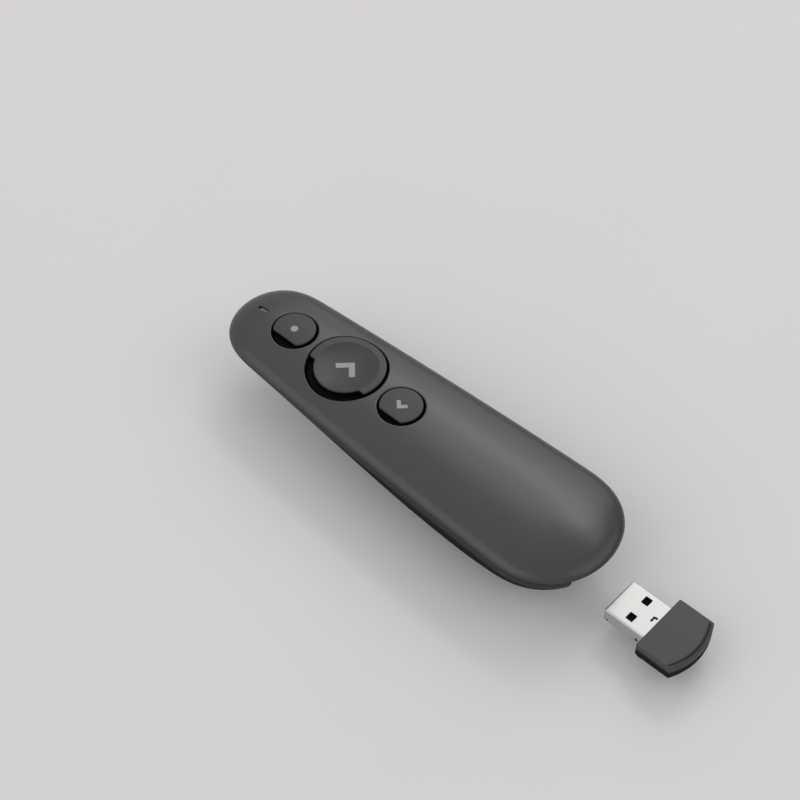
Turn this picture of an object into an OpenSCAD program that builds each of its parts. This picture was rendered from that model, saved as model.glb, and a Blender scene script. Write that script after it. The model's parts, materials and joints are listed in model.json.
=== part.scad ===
// Wireless presentation clicker with a slide-out USB receiver.
// Millimetres. +Y points to the head, where the laser leaves, +Z is up.
// The origin is the middle of the flat face that the belly rests on.

/* [Body] */
// Length of the body from tail to head
body_l = 130; // [120:1:145]
// Full width that the sides start from at the tail
tail_w = 39.9; // [36:0.1:44]
// Full width that the sides reach at the head
head_w = 27.6; // [26:0.1:32]
// How late the sides draw in towards the head, 1 is straight
side_power = 1.6; // [1:0.1:2.2]
// Length of the rounding at the tail
tail_round = 22.4; // [18:0.1:30]
// Squareness of the rounding at the tail
tail_power = 2.5; // [2:0.1:3]
// Length of the rounding at the head
head_round = 17; // [14:0.1:22]
// Squareness of the rounding at the head
head_power = 2.9; // [2:0.1:3.2]
// Height of the parting line above the surface that the body rests on
rim_z = 20; // [19.6:0.1:22]
// Rise of the domed deck above the parting line
crown = 4.15; // [3.9:0.05:5.5]
// Squareness of the deck's cross section
deck_power = 2.6; // [2.2:0.1:3.2]
// Distance from the tail to the middle of the resting face
rest_s = 43; // [40:1:46]

/* [Belly] */
// Depth of the belly under the parting line at the tail
belly_tail = 10.2; // [9:0.1:12]
// Greatest depth of the belly, before its flat is taken off
belly_max = 22.4; // [22:0.1:25]
// Depth of the belly at the head
belly_head = 8.2; // [8:0.1:10]
// Place of the greatest depth, as a distance from the tail
belly_s = 38.5; // [34:0.5:44]
// Squareness of the belly's cross section
belly_power = 1.85; // [1.7:0.05:2.2]

/* [Shells] */
// Wall of the deck shell
deck_wall = 1.8; // [1.5:0.1:2.2]
// Wall of the belly shell
belly_wall = 1.6; // [1.4:0.1:1.8]
// Gap between a moulding and what drops into it
fit_gap = 0.3; // [0.2:0.05:0.4]
// Gap between two fixed mouldings that locate each other
seat_gap = 0.1; // [0.05:0.05:0.2]
// Height of the lip that locates the shells on each other
lip_h = 1.2; // [0.8:0.1:1.6]
// Thickness of that lip
lip_t = 0.8; // [0.6:0.1:1]

/* [Buttons] */
// Distance from the head to the middle of the laser button
laser_e = 19.7; // [19.3:0.1:20.5]
// Distance between the laser and next buttons
laser_next = 19.8; // [19.7:0.1:22]
// Distance between the next and back buttons
next_back = 20.1; // [19.7:0.1:22]
// Radius of the two small caps
small_r = 5.95; // [5.6:0.05:6.1]
// Radius of the next button's ring
ring_r = 10.88; // [10.4:0.02:11]
// Radius of the dish inside the ring
dish_r = 8.8; // [8:0.1:9]
// Rim left round the dish where the ring is cut away
dish_rim = 0.3; // [0.2:0.05:0.5]
// Depth of the dish
dish_h = 0.9; // [0.5:0.1:1.1]
// Distance of the straight cut from the middle of the laser button's cap
laser_chord = 3.95; // [3.4:0.05:5]
// Distance of the straight cut from the middle of the back button's cap
back_chord = 4.6; // [3.4:0.1:5]
// Distance of the straight cut from the middle of the ring
ring_chord = 3.95; // [3:0.05:5]
// Height that the caps stand above the deck
cap_rise = 0.55; // [0.4:0.05:0.7]
// Gap round a cap in its hole
cap_gap = 0.62; // [0.5:0.01:0.7]
// Thickness of a small cap on the centre line
cap_t = 1.7; // [1.3:0.1:2]
// Depth of the ring's underside below the top of its cap
ring_t = 2.1; // [1.8:0.1:2.3]
// Travel of a button
travel = 0.5; // [0.3:0.05:0.6]
// Width of the flange that keeps a button in its hole
flange_w = 0.65; // [0.6:0.05:0.75]
// Thickness of that flange
flange_t = 0.6; // [0.5:0.1:0.7]
// Wall of the collar that guides a button
collar_t = 1; // [0.8:0.1:1.2]
// Radius of the stem under a button
stem_r = 1.6; // [1.4:0.1:2]

/* [Circuit board] */
// Depth of the board's top face under the parting line
board_drop = 1.6; // [1.5:0.1:1.8]
// Thickness of the board
board_t = 1; // [0.8:0.1:1.1]
// Tail end of the board
board_s0 = 25; // [24:0.5:28]
// Distance from the head to the board
board_e = 15.4; // [15.2:0.1:15.6]
// Distance from the body's outline to the board's edge
board_inset = 4; // [3.4:0.1:4.5]
// Side of a push switch
switch_w = 6; // [5:0.5:6.2]
// Height of a push switch's housing
switch_h = 1.4; // [1.3:0.1:1.5]
// Radius of a push switch's plunger
plunger_r = 1.2; // [1:0.1:1.4]
// Gap round the plunger in its housing
plunger_gap = 0.08; // [0.05:0.01:0.1]
// Radius of the screws that hold the board
screw_r = 0.8; // [0.7:0.05:0.9]
// Radius of a screw's head
screw_head_r = 1.7; // [1.5:0.1:2]
// Height of a screw's head
screw_head_h = 1.1; // [0.9:0.1:1.3]
// Radius of a screw boss
boss_r = 2.2; // [2:0.1:2.6]

/* [Battery] */
// Diameter of the AAA cell
cell_d = 10.5; // [10.3:0.1:10.6]
// Length of the cell with its nub
cell_l = 44.5; // [43:0.5:44.5]
// Tail end of the cell
cell_s = 36; // [35.8:0.1:36.2]
// Radius of the cell's nub
nub_r = 1.9; // [1.7:0.1:2.2]
// Height of the cell's nub
nub_h = 0.9; // [0.7:0.1:1.1]
// Wall of the battery tray
tray_t = 0.8; // [0.7:0.1:0.9]
// Thickness of a contact plate
contact_t = 0.3; // [0.2:0.1:0.4]
// Space that the spring fills behind the cell
spring_l = 2.4; // [2.2:0.1:2.6]
// Turns of the spring
spring_turns = 4; // [3:1:5]
// Wire diameter of the spring
spring_wire = 0.5; // [0.4:0.1:0.6]
// Radius of the spring at its foot
spring_r = 3.6; // [3:0.1:4]
// Width of the battery door
door_w = 19; // [18.5:0.1:19.5]
// Reach of the battery door past the cell's tail end
door_tail = 3; // [2.8:0.1:3.6]
// Reach of the battery door past the cell's head end
door_head = 4; // [3.4:0.1:4.4]
// Corner radius of the battery door
door_r = 1.2; // [0.8:0.1:1.6]
// Gap round the battery door
door_gap = 0.25; // [0.2:0.05:0.35]
// Width of a door tab
tab_w = 1.6; // [1.2:0.1:1.7]
// Reach of a door tab past the door's edge
tab_l = 2.4; // [1.8:0.1:2.6]
// Thickness of a door tab
tab_t = 1.2; // [1:0.1:1.4]
// Thickness of the door's saddle ribs
rib_t = 1.2; // [1:0.1:1.6]
// Radius of the nail notch at the door's tail edge
notch_r = 4.5; // [3.5:0.1:6]
// Depth of the nail notch and of the door's grip grooves
notch_h = 0.6; // [0.4:0.1:0.8]

/* [Receiver] */
// Width of a USB-A plug
plug_w = 12; // [11.9:0.05:12.1]
// Height of a USB-A plug
plug_h = 4.5; // [4.4:0.05:4.6]
// Length of the plug in front of the cap
plug_l = 12.4; // [11.8:0.1:12.6]
// Sheet thickness of the plug
plug_sheet = 0.3; // [0.25:0.05:0.4]
// Width of the receiver's cap
rcv_w = 18.5; // [17.5:0.1:19]
// Length of the cap's straight sides
rcv_l = 10.7; // [10:0.1:11.5]
// Radius of the cap's rounded end
rcv_end_r = 18.4; // [17:0.1:22]
// Height of the cap's upper half
rcv_top_h = 4.2; // [3.8:0.1:4.4]
// Height of the cap's lower half
rcv_base_h = 2; // [1.6:0.1:2.4]
// Draw-in of the lower half at its foot
rcv_taper = 2; // [1:0.1:2.6]
// Depth of the receiver's top face under the parting line
rcv_drop = 8.8; // [8.4:0.1:9.4]
// Depth of the plug's top face under the cap's top face
plug_drop = 0.6; // [0.3:0.1:0.8]
// Distance that the receiver is pulled out past the tail
rcv_out = 17.4; // [5:0.1:25]
// Distance from the tail to the docked receiver's end
dock_s = 5.4; // [5:0.1:5.6]
// Wall of the dock
dock_wall = 0.8; // [0.7:0.1:1]
// Distance that the belly is cut back under the docked cap
dock_lip = 9.2; // [8:0.1:10]
// Half width of the thumb recess over the dock
thumb_hw = 10.6; // [10.4:0.1:11.4]
// Distance that the thumb recess reaches past the docked receiver's end
thumb_in = 3.4; // [3:0.1:4]
// Distance of the pull groove from the cap's rounded end
groove_in = 0.8; // [0.6:0.1:1.2]
// Width of the pull groove
groove_w = 0.5; // [0.4:0.1:0.8]
// Depth of the pull groove
groove_h = 0.35; // [0.2:0.05:0.5]
// Corner cut at the front of the cap
rcv_chamfer = 0.3; // [0.2:0.05:0.6]
// Distance of the detent notches from the cap's front
detent_s = 1.8; // [1.4:0.1:3]
// Length of the detent notches low on the cap's sides
detent_l = 1.4; // [1:0.1:1.8]
// Depth of the detent notches
detent_h = 0.6; // [0.3:0.1:0.8]

/* [Laser and indicator] */
// Diameter of the laser barrel
barrel_d = 5; // [4.6:0.1:5]
// Length of the laser barrel
barrel_l = 5.2; // [4:0.1:5.4]
// Depth of the laser's axis under the parting line
laser_drop = 3.7; // [3.6:0.1:3.9]
// Radius of the laser window
window_r = 1.9; // [1.5:0.1:2.2]
// Thickness of the laser window
window_t = 1.2; // [0.8:0.1:1.4]
// Distance from the head to the window
window_e = 6.2; // [6:0.1:6.6]
// Wall of the tube that holds the window
window_rim = 1.1; // [0.8:0.1:1.3]
// Distance from the head to the tail end of the indicator slot
slot_e = 9.3; // [9:0.1:9.8]
// Length of the indicator slot
slot_l = 3.5; // [2.8:0.1:3.7]
// Width of the indicator slot
slot_w = 1; // [0.7:0.1:1.2]
// Depth of the light pipe's top face in its slot
pipe_drop = 0.6; // [0.3:0.1:0.8]

/* [Hidden] */
$fn = 64;
grey = [0.30, 0.30, 0.31];
black = [0.05, 0.05, 0.055];
far = 60;                                     // longer than any cut needs
sliver = 0.01;                                // overlap that keeps a cut clean
rim_n = 72;                                   // points round the outline
lamp_h = 0.6;                                 // height of the lamp
spine_tail = 18;                              // end of the spine at the tail
spine_head = 16;                              // end of the spine at the head
deck_steps = [90, 80, 68, 56, 44, 32, 20, 9];        // outer rings, rim to crown
belly_steps = [90, 80, 69, 58, 47, 37, 28, 20, 13, 6];
inner_steps = [90, 70, 50, 30, 12];           // rings of an inner face

button_steps = [68, 56, 44, 32, 20, 9];       // the deck's inner rings, for the caps
door_steps = [47, 37, 28, 20, 13, 6];         // the belly's inner rings, for the door
door_in_steps = [50, 30, 12];

// Levels and places that follow from the sizes above
laser_s = body_l - laser_e;
next_s = laser_s - laser_next;
back_s = next_s - next_back;
board_s1 = body_l - board_e;
slot_s0 = body_l - slot_e;
slot_s1 = slot_s0 + slot_l;
board_top = rim_z - board_drop;
board_bottom = board_top - board_t;
tray_top = board_bottom;
cell_z = tray_top - tray_t - fit_gap / 1.5 - cell_d / 2;
tray_hw = cell_d / 2 + fit_gap + tray_t;
tray_foot = cell_z - 1.6;
tray_in0 = cell_s - spring_l - contact_t;
tray_in1 = cell_s + cell_l + contact_t;
cap_top = rim_z + crown + cap_rise;                  // highest line of the caps
cap_base = cap_top - cap_t;
ring_base = cap_top - ring_t;
plunger_top = board_top + switch_h + travel;
flange_z = plunger_top + 0.1;
collar_z = flange_z + flange_t + fit_gap;
stop_z = board_top + travel + seat_gap;              // foot of a plunger at rest
laser_z = rim_z - laser_drop;
barrel_s = board_s1 + fit_gap;
plug_z = rim_z - rcv_drop - plug_drop - plug_h;      // underside of the plug
rcv_z = rim_z - rcv_drop;                            // top of the cap
rcv_foot = rcv_z - rcv_top_h - rcv_base_h;
rcv_front = -rcv_out;                                // cap front, from the tail
end_sag = rcv_end_r - sqrt(rcv_end_r * rcv_end_r - rcv_w * rcv_w / 4);
dock_front = dock_s + end_sag + rcv_l;               // docked cap front
dock_end = dock_front + plug_l + fit_gap;            // back wall of the dock
dock_lip_s = dock_s + dock_lip;                      // edge of the belly under the cap
thumb_s = dock_s + thumb_in;                         // back wall of the thumb recess
window_s = body_l - window_e;
door_s0 = cell_s - door_tail;
door_s1 = cell_s + cell_l + door_head;
tab_root = 2.2;                                      // length of a tab's root
tab_x = door_w / 2 - door_r - tab_w / 2;
tab_z = rim_z - 0.64 * belly_d(door_s1);             // over the belly's inner face
pipe_s0 = laser_s + switch_w / 2 + seat_gap;         // tail end of the light pipe
pipe_s1 = window_s - fit_gap;                        // its head end
tail_screw = 25;                                     // from the board's tail end
head_screw = 8;                                      // from the laser button
screw_spots = [[10.4, board_s0 + tail_screw], [8.6, laser_s - head_screw]];
pipe_z0 = board_top + lamp_h + seat_gap;             // underside of the light pipe's bar

// ---- Body form ----------------------------------------------------------

function clamp01(v) = min(1, max(0, v));

// Half width of the straight sides at distance s from the tail
function side_hw(s) =
    (tail_w - (tail_w - head_w) * pow(clamp01(s / body_l), side_power)) / 2;

// Rounding of an end, 0 at the tip and 1 past its length
function end_round(d, len, p) =
    d >= len ? 1 : sqrt(max(0, 1 - pow(abs(1 - d / len), p)));

function half_w(s) = side_hw(s) * end_round(s, tail_round, tail_power)
    * end_round(body_l - s, head_round, head_power);

// Outline point i, from the tail along -X to the head and back along +X
function rim_raw(i) =
    let (a = 360 * i / rim_n, s = body_l / 2 * (1 - cos(a)))
    [-sign(sin(a)) * half_w(s), s];

// The same point moved inwards by e
function rim_pt(i, e) =
    let (q = rim_raw(i + 1) - rim_raw(i - 1))
    rim_raw(i) + e * [q[1], -q[0]] / norm(q);

// Point of the spine that outline point i is drawn to
function hub(i) =
    [0, spine_tail + (body_l - spine_tail - spine_head) * rim_raw(i)[1] / body_l];

// Depth of the belly at distance s, deepest at belly_s
function belly_d(s) =
    s < belly_s
    ? belly_tail + (belly_max - belly_tail) * sin(90 * clamp01(s / belly_s))
    : belly_head + (belly_max - belly_head)
        * (1 + cos(180 * clamp01((s - belly_s) / (body_l - belly_s)))) / 2;

// Surface points: i runs round the outline, t from 90 at the rim to 0 at the spine
function deck_pt(i, t, e) =
    let (q = hub(i) + pow(sin(t), 2 / deck_power) * (rim_pt(i, e) - hub(i)))
    [q[0], q[1] - rest_s, rim_z + (crown - e) * cos(t)];

function belly_pt(i, t, e) =
    let (q = hub(i) + pow(sin(t), 2 / belly_power) * (rim_pt(i, e) - hub(i)),
         z = rim_z - (belly_d(q[1]) - e) * pow(cos(t), 2 / belly_power))
    [q[0], q[1] - rest_s, max(e, z)];

// Height of the deck on its centre line, past the head end of the spine
function deck_z(s) =
    let (rho = clamp01((s - body_l + spine_head) / spine_head))
    rim_z + crown * cos(asin(pow(rho, deck_power / 2)));

function half_pt(up, i, t, e) = up ? deck_pt(i, t, e) : belly_pt(i, t, e);

// Rings of one surface from the rim inwards, then its spine
function rings(up, steps, e) = concat(
    [for (t = steps) for (i = [0 : rim_n - 1]) half_pt(up, i, t, e)],
    [for (i = [0 : rim_n / 2]) half_pt(up, i, 0, e)]);

function rings_size(steps) = len(steps) * rim_n + rim_n / 2 + 1;

// Quads between two rings, as triangles
function band(a, b, flip) =
    [for (i = [0 : rim_n - 1]) let (j = (i + 1) % rim_n)
        each flip ? [[a + i, b + i, b + j], [a + i, b + j, a + j]]
                  : [[a + i, a + j, b + j], [a + i, b + j, b + i]]];

// Quads between the last ring and the spine, which both sides share
function spine_band(a, b, flip) =
    [for (i = [0 : rim_n - 1])
        let (j = (i + 1) % rim_n, si = b + min(i, rim_n - i), sj = b + min(j, rim_n - j))
        each flip ? [[a + i, si, sj], [a + i, sj, a + j]]
                  : [[a + i, a + j, sj], [a + i, sj, si]]];

function rings_faces(start, steps, flip) = concat(
    [for (k = [0 : len(steps) - 2])
        each band(start + k * rim_n, start + (k + 1) * rim_n, flip)],
    spine_band(start + (len(steps) - 1) * rim_n, start + len(steps) * rim_n, flip));

// Half of the body as a wall of thickness e, closed at the first ring of each face
module skin(up, steps, e, in_steps = inner_steps) {
    inner = rings_size(steps);
    polyhedron(
        points = concat(rings(up, steps, 0), rings(up, in_steps, e)),
        faces = concat(rings_faces(0, steps, !up),
                       rings_faces(inner, in_steps, up),
                       band(0, inner, up)));
}

// Half of the body as a solid, drawn in by e
module form(up, steps, e) {
    polyhedron(
        points = rings(up, steps, e),
        faces = concat(rings_faces(0, steps, !up),
                       [[for (i = [0 : rim_n - 1]) up ? rim_n - 1 - i : i]]));
}

// ---- Shared shapes ------------------------------------------------------

// Moves a shape to a distance from the tail
module at(s, x = 0, z = 0) {
    translate([x, s - rest_s, z]) children();
}

// Box given by its width about the middle and its two ends
module block(w, s0, s1, z0, z1, x = 0) {
    translate([x - w / 2, s0 - rest_s, z0]) cube([w, s1 - s0, z1 - z0]);
}

// Box with round upright corners
module round_block(w, s0, s1, z0, z1, r) {
    block(w - 2 * r, s0, s1, z0, z1);
    block(w, s0 + r, s1 - r, z0, z1);
    for (x = [-1, 1], s = [s0 + r, s1 - r])
        at(s, x * (w / 2 - r), z0) cylinder(r = r, h = z1 - z0);
}

// Cylinder along +Y from s0 to s1
module rod(r, s0, s1, z, x = 0) {
    translate([x, s0 - rest_s, z]) rotate([-90, 0, 0]) cylinder(r = r, h = s1 - s0);
}

module for_screws() {
    for (p = screw_spots, side = [-1, 1]) at(p[1], side * p[0]) children();
}

// Everything on one side of the straight cut through a cap
module chord_cut(s, chord) {
    block(far, s - far, s + far, 0, far, -chord - far / 2);
}

// ---- Shells -------------------------------------------------------------

button_holes = [[laser_s, small_r], [next_s, ring_r], [back_s, small_r]];

module top_shell() {
    color(grey) difference() {
        union() {
            skin(true, deck_steps, deck_wall);
            locating_lip();
            for_screws() translate([0, 0, board_top])
                cylinder(r = boss_r, h = rim_z - board_top + sliver);
            intersection() {
                form(true, inner_steps, deck_wall / 2);
                union() {
                    for (b = button_holes)
                        at(b[0], 0, collar_z)
                            cylinder(r = b[1] + cap_gap + collar_t, h = far);
                    for_screws() translate([0, 0, rim_z]) cylinder(r = boss_r, h = far);
                }
            }
        }
        for (b = button_holes)
            at(b[0], 0, rim_z - far / 2) cylinder(r = b[1] + cap_gap, h = far);
        for_screws() translate([0, 0, board_top - sliver])
            cylinder(r = screw_r + seat_gap / 2, h = screw_depth + seat_gap);
        light_slot(seat_gap / 2);
    }
}

screw_depth = 3.4;

// Strips under the parting line that stand inside the belly shell's walls
lip_i0 = 8;                                   // outline points that it runs between
lip_i1 = 27;
lip_root = 1.4;                               // height of the lip inside the deck
module locating_lip() {
    e = belly_wall + fit_gap + 2 * seat_gap;
    for (side = [0, 1])
        mirror([side, 0, 0]) translate([0, -rest_s, rim_z - lip_h])
            linear_extrude(lip_h + lip_root)
                polygon(concat([for (i = [lip_i0 : lip_i1]) rim_pt(i, e)],
                               [for (i = [lip_i1 : -1 : lip_i0]) rim_pt(i, e + lip_t)]));
}

// The indicator's slot, grown by g all round
module light_slot(g) {
    r = slot_w / 2 + g;
    for (s = [slot_s0 + slot_w / 2, slot_s1 - slot_w / 2])
        at(s, 0, rim_z + sliver) cylinder(r = r, h = far);
    block(2 * r, slot_s0 + slot_w / 2, slot_s1 - slot_w / 2, rim_z + sliver, far);
}

// The space that the receiver slides in, grown by g
module dock_space(g) {
    block(rcv_w + 2 * g, -far, dock_front + g, rcv_foot - g, rcv_z + g);
    block(plug_w + 2 * g, -far, dock_end, plug_z - g, plug_z + plug_h + g);
}

module bottom_shell() {
    color(black) difference() {
        union() {
            skin(false, belly_steps, belly_wall);
            intersection() {
                form(false, inner_steps, belly_wall / 2);
                union() {
                    board_posts();
                    rod(window_r + window_rim, window_s, body_l, laser_z);
                }
            }
        }
        round_block(door_w + 2 * door_gap, door_s0 - door_gap, door_s1 + door_gap,
                    -far, cell_z, door_r + door_gap);
        dock_space(fit_gap);
        block(rcv_w + 2 * fit_gap, -far, dock_lip_s, -far, rcv_z);
        block(2 * thumb_hw, -far, thumb_s, -far, rim_z + sliver);
        at(door_s0 - door_gap, 0, -sliver) cylinder(r = notch_r, h = notch_h + sliver);
        rod(window_r + seat_gap / 2, body_l - head_round, body_l + far, laser_z);
    }
}

// Posts that the board rests on
tail_post = 9;                                // from the board's tail end
head_post = 1.5;                              // from the next button
post_spots = [[12.6, board_s0 + tail_post], [9.6, next_s + head_post]];
post_r = 2;
module board_posts() {
    for (p = post_spots, side = [-1, 1])
        at(p[1], side * p[0], 0) cylinder(r = post_r, h = board_bottom);
}

// Box round the docked receiver, closed at its inner end
module dock_liner() {
    g = fit_gap + dock_wall;
    color(black) intersection() {
        form(false, inner_steps, belly_wall + seat_gap);
        difference() {
            union() {
                block(rcv_w + 2 * g, 0, dock_front + g, rcv_foot - g, rcv_z + g);
                block(plug_w + 2 * g, dock_front, dock_end + dock_wall,
                      plug_z - g, plug_z + plug_h + g);
                block(2 * thumb_hw + 2 * dock_wall, 0, thumb_s + dock_wall,
                      rcv_foot - g, rim_z - seat_gap);
            }
            dock_space(fit_gap);
            block(2 * thumb_hw, -far, thumb_s, -far, rim_z - seat_gap - dock_wall);
        }
    }
}

// ---- Battery ------------------------------------------------------------

module battery_tray() {
    color(black) difference() {
        block(2 * tray_hw, tray_in0 - tray_t, tray_in1 + tray_t, tray_foot, tray_top);
        block(2 * tray_hw - 2 * tray_t, tray_in0, tray_in1,
              -far, tray_top - tray_t);
    }
}

module battery_cell() {
    color("silver") {
        rod(cell_d / 2, cell_s, cell_s + cell_l - nub_h, cell_z);
        rod(nub_r, cell_s, cell_s + cell_l, cell_z);
    }
}

// Conical coil that presses on the cell's flat end
spring_tip_r = 2.2;
wire_sides = 6;
ring_count = 16;                              // rings in one turn
module battery_spring() {
    n = spring_turns * ring_count;
    w = spring_wire / 2;
    foot = cell_s - spring_l + w;
    rise = spring_l - 2 * w;
    function centre(k) = let (f = k / n, a = 360 * k / ring_count,
                              r = spring_r + (spring_tip_r - spring_r) * f)
        [r * cos(a), foot - rest_s + rise * f, cell_z + r * sin(a)];
    function wire_pt(k, j) = let (a = 360 * k / ring_count, b = 360 * j / wire_sides)
        centre(k) + w * [cos(a) * cos(b), sin(b), sin(a) * cos(b)];
    color("silver") polyhedron(
        points = [for (k = [0 : n]) for (j = [0 : wire_sides - 1]) wire_pt(k, j)],
        faces = concat(
            [[for (j = [0 : wire_sides - 1]) wire_sides - 1 - j]],
            [for (k = [0 : n - 1]) for (j = [0 : wire_sides - 1])
                let (a = k * wire_sides + j, b = k * wire_sides + (j + 1) % wire_sides)
                each [[a, b, b + wire_sides], [a, b + wire_sides, a + wire_sides]]],
            [[for (j = [0 : wire_sides - 1]) n * wire_sides + j]]));
}

contact_hw = 4.2;
module contact_plate(s) {
    block(2 * contact_hw, s, s + contact_t, cell_z - contact_hw, tray_top - tray_t);
}

module contact_negative() {
    color("silver") contact_plate(cell_s - spring_l - contact_t);
}

module contact_positive() {
    color("silver") contact_plate(cell_s + cell_l);
}

// Battery door: a piece of the belly with two tabs that it swings on, saddle ribs
// that hold the cell down, and grooves for a thumb near its tail edge
rib_w = 9;
grip_w = 9;
grip_t = 0.7;
module battery_door() {
    color(black) difference() {
        union() {
            intersection() {
                skin(false, door_steps, belly_wall, door_in_steps);
                round_block(door_w, door_s0, door_s1, -far, cell_z, door_r);
            }
            intersection() {
                form(false, door_in_steps, belly_wall / 2);
                union() {
                    for (side = [-1, 1])
                        block(tab_w, door_s1 - tab_root, door_s1, 0, tab_z + tab_t,
                              side * tab_x);
                    for (k = [1 : 2])
                        block(rib_w, cell_s + cell_l * k / 4, cell_s + cell_l * k / 4 + rib_t,
                              0, cell_z - cell_d / 4);
                }
            }
            for (side = [-1, 1])
                block(tab_w, door_s1 - tab_root, door_s1 + tab_l, tab_z, tab_z + tab_t,
                      side * tab_x);
        }
        rod(cell_d / 2 + fit_gap, cell_s, cell_s + cell_l, cell_z);
        for (k = [1 : 3])
            block(grip_w, door_s0 + 2 * grip_t * k, door_s0 + grip_t * (2 * k + 1),
                  -sliver, notch_h);
    }
}

// ---- Board --------------------------------------------------------------

board_n = 24;
module board_outline() {
    side = [for (k = [0 : board_n]) let (s = board_s0 + (board_s1 - board_s0) * k / board_n)
        [half_w(s) - board_inset, s - rest_s]];
    polygon(concat(side, [for (k = [board_n : -1 : 0]) [-side[k][0], side[k][1]]]));
}

module main_board() {
    color([0.10, 0.35, 0.20]) difference() {
        translate([0, 0, board_bottom]) linear_extrude(board_t) board_outline();
        for_screws() cylinder(r = screw_r + fit_gap, h = far);
    }
}

module board_screws() {
    color("silver") for_screws() {
        translate([0, 0, board_bottom - screw_head_h])
            cylinder(r = screw_head_r, h = screw_head_h);
        translate([0, 0, board_bottom - screw_head_h])
            cylinder(r = screw_r, h = screw_head_h + board_t + screw_depth);
    }
}

// Radio chip on the board, with its clock crystal beside it
radio_w = 5;
radio_h = 0.9;
crystal_w = 3.2;
crystal_l = 2.5;
module radio_chip() {
    radio_s = back_s - small_r - 3 * radio_w / 2;
    crystal_x = radio_w / 2 + fit_gap + crystal_w;
    color(black) {
        block(radio_w, radio_s, radio_s + radio_w, board_top, board_top + radio_h);
        block(crystal_w, radio_s, radio_s + crystal_l, board_top, board_top + radio_h,
              -crystal_x);
    }
}

module switch_body(s) {
    color("silver") difference() {
        block(switch_w, s - switch_w / 2, s + switch_w / 2, board_top, board_top + switch_h);
        at(s, 0, stop_z - travel) cylinder(r = plunger_r + plunger_gap, h = far);
    }
}
module laser_switch() { switch_body(laser_s); }
module next_switch() { switch_body(next_s); }
module back_switch() { switch_body(back_s); }

// Lamp at the board's head edge
lamp_w = 1.6;
lamp_l = 0.8;
module status_led() {
    color("white") block(lamp_w, board_s1 - fit_gap - lamp_l, board_s1 - fit_gap,
                         board_top, board_top + lamp_h);
}

// Clear bar from the lamp to the slot in the deck
pipe_w = 2;
pipe_t = 0.55;
module light_pipe() {
    color([0.85, 0.85, 0.85]) {
        block(pipe_w, pipe_s0, pipe_s1, pipe_z0, pipe_z0 + pipe_t);
        intersection() {
            light_slot(0);
            block(far, 0, body_l, 0, deck_z(slot_s1) - pipe_drop);
        }
        block(slot_w, slot_s0 + slot_w / 2, pipe_s1, pipe_z0, rim_z + slot_w);
    }
}

// ---- Laser --------------------------------------------------------------

module laser_barrel() {
    color("goldenrod") difference() {
        rod(barrel_d / 2, barrel_s, barrel_s + barrel_l, laser_z);
        rod(lens_r + seat_gap / 2, barrel_s + barrel_l - lens_t, barrel_s + far, laser_z);
    }
}

lens_r = 1.8;
lens_t = 1.2;
module laser_lens() {
    color("lightblue") rod(lens_r, barrel_s + barrel_l - lens_t, barrel_s + barrel_l, laser_z);
}

module laser_window() {
    color([0.15, 0.05, 0.05]) rod(window_r, window_s, window_s + window_t, laser_z);
}

// ---- Buttons ------------------------------------------------------------

// Round cap with the deck's curve on its top, a little above the deck
module round_cap(s, r, base) {
    intersection() {
        translate([0, 0, cap_rise]) form(true, button_steps, 0);
        at(s, 0, base) cylinder(r = r, h = far);
    }
}

// The same, cut straight on its -X side
module small_cap(s, chord) {
    color(grey) difference() {
        round_cap(s, small_r, cap_base);
        chord_cut(s, chord);
    }
}

// Black base of a button: full round body, retaining flange and stem
module skirt(s, r, top) {
    color(black) {
        at(s, 0, flange_z) cylinder(r = r, h = top - flange_z);
        at(s, 0, flange_z) cylinder(r = r + cap_gap + flange_w, h = flange_t);
        at(s, 0, plunger_top) cylinder(r = stem_r, h = flange_z - plunger_top + sliver);
    }
}

module plunger(s) {
    color("white") at(s, 0, stop_z) cylinder(r = plunger_r, h = plunger_top - stop_z);
}

module laser_cap() { small_cap(laser_s, laser_chord); }
module laser_skirt() { skirt(laser_s, small_r, cap_base); }
module laser_plunger() { plunger(laser_s); }

// Space over the dish: its floor follows the cap's curve and ends in a true circle
dish_n = 48;                                  // points round the dish
dish_shares = [0.35, 0.65, 0.88, 1.06];       // its rings, as shares of dish_r
module dish_space() {
    function top_z(x) = rim_z + cap_rise
        + crown * sqrt(1 - pow(abs(x) / side_hw(next_s), deck_power));
    function floor_pt(f, j) = let (x = f * dish_r * cos(360 * j / dish_n))
        [x, next_s - rest_s + f * dish_r * sin(360 * j / dish_n),
         top_z(x) - dish_h * (1 - f * f)];
    n = len(dish_shares);
    last = (n - 1) * dish_n;
    polyhedron(
        points = concat([for (f = dish_shares) for (j = [0 : dish_n - 1]) floor_pt(f, j)],
                        [floor_pt(0, 0), [0, next_s - rest_s, far]]),
        faces = [for (j = [0 : dish_n - 1]) let (m = (j + 1) % dish_n)
            each concat(
                [[n * dish_n, j, m]],
                [for (k = [0 : n - 2]) let (a = k * dish_n)
                    each [[a + j, a + dish_n + m, a + m], [a + j, a + dish_n + j, a + dish_n + m]]],
                [[last + j, n * dish_n + 1, last + m]])]);
}

// Flat ring round a dished pad; the straight cut takes only the ring
module next_cap() {
    color(grey) difference() {
        round_cap(next_s, ring_r, ring_base);
        difference() {
            chord_cut(next_s, ring_chord);
            at(next_s, 0, 0) cylinder(r = dish_r + dish_rim, h = far);
        }
        dish_space();
    }
}
module next_skirt() { skirt(next_s, ring_r, ring_base); }
module next_plunger() { plunger(next_s); }

module back_cap() { small_cap(back_s, back_chord); }
module back_skirt() { skirt(back_s, small_r, cap_base); }
module back_plunger() { plunger(back_s); }

// ---- Receiver -----------------------------------------------------------

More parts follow.
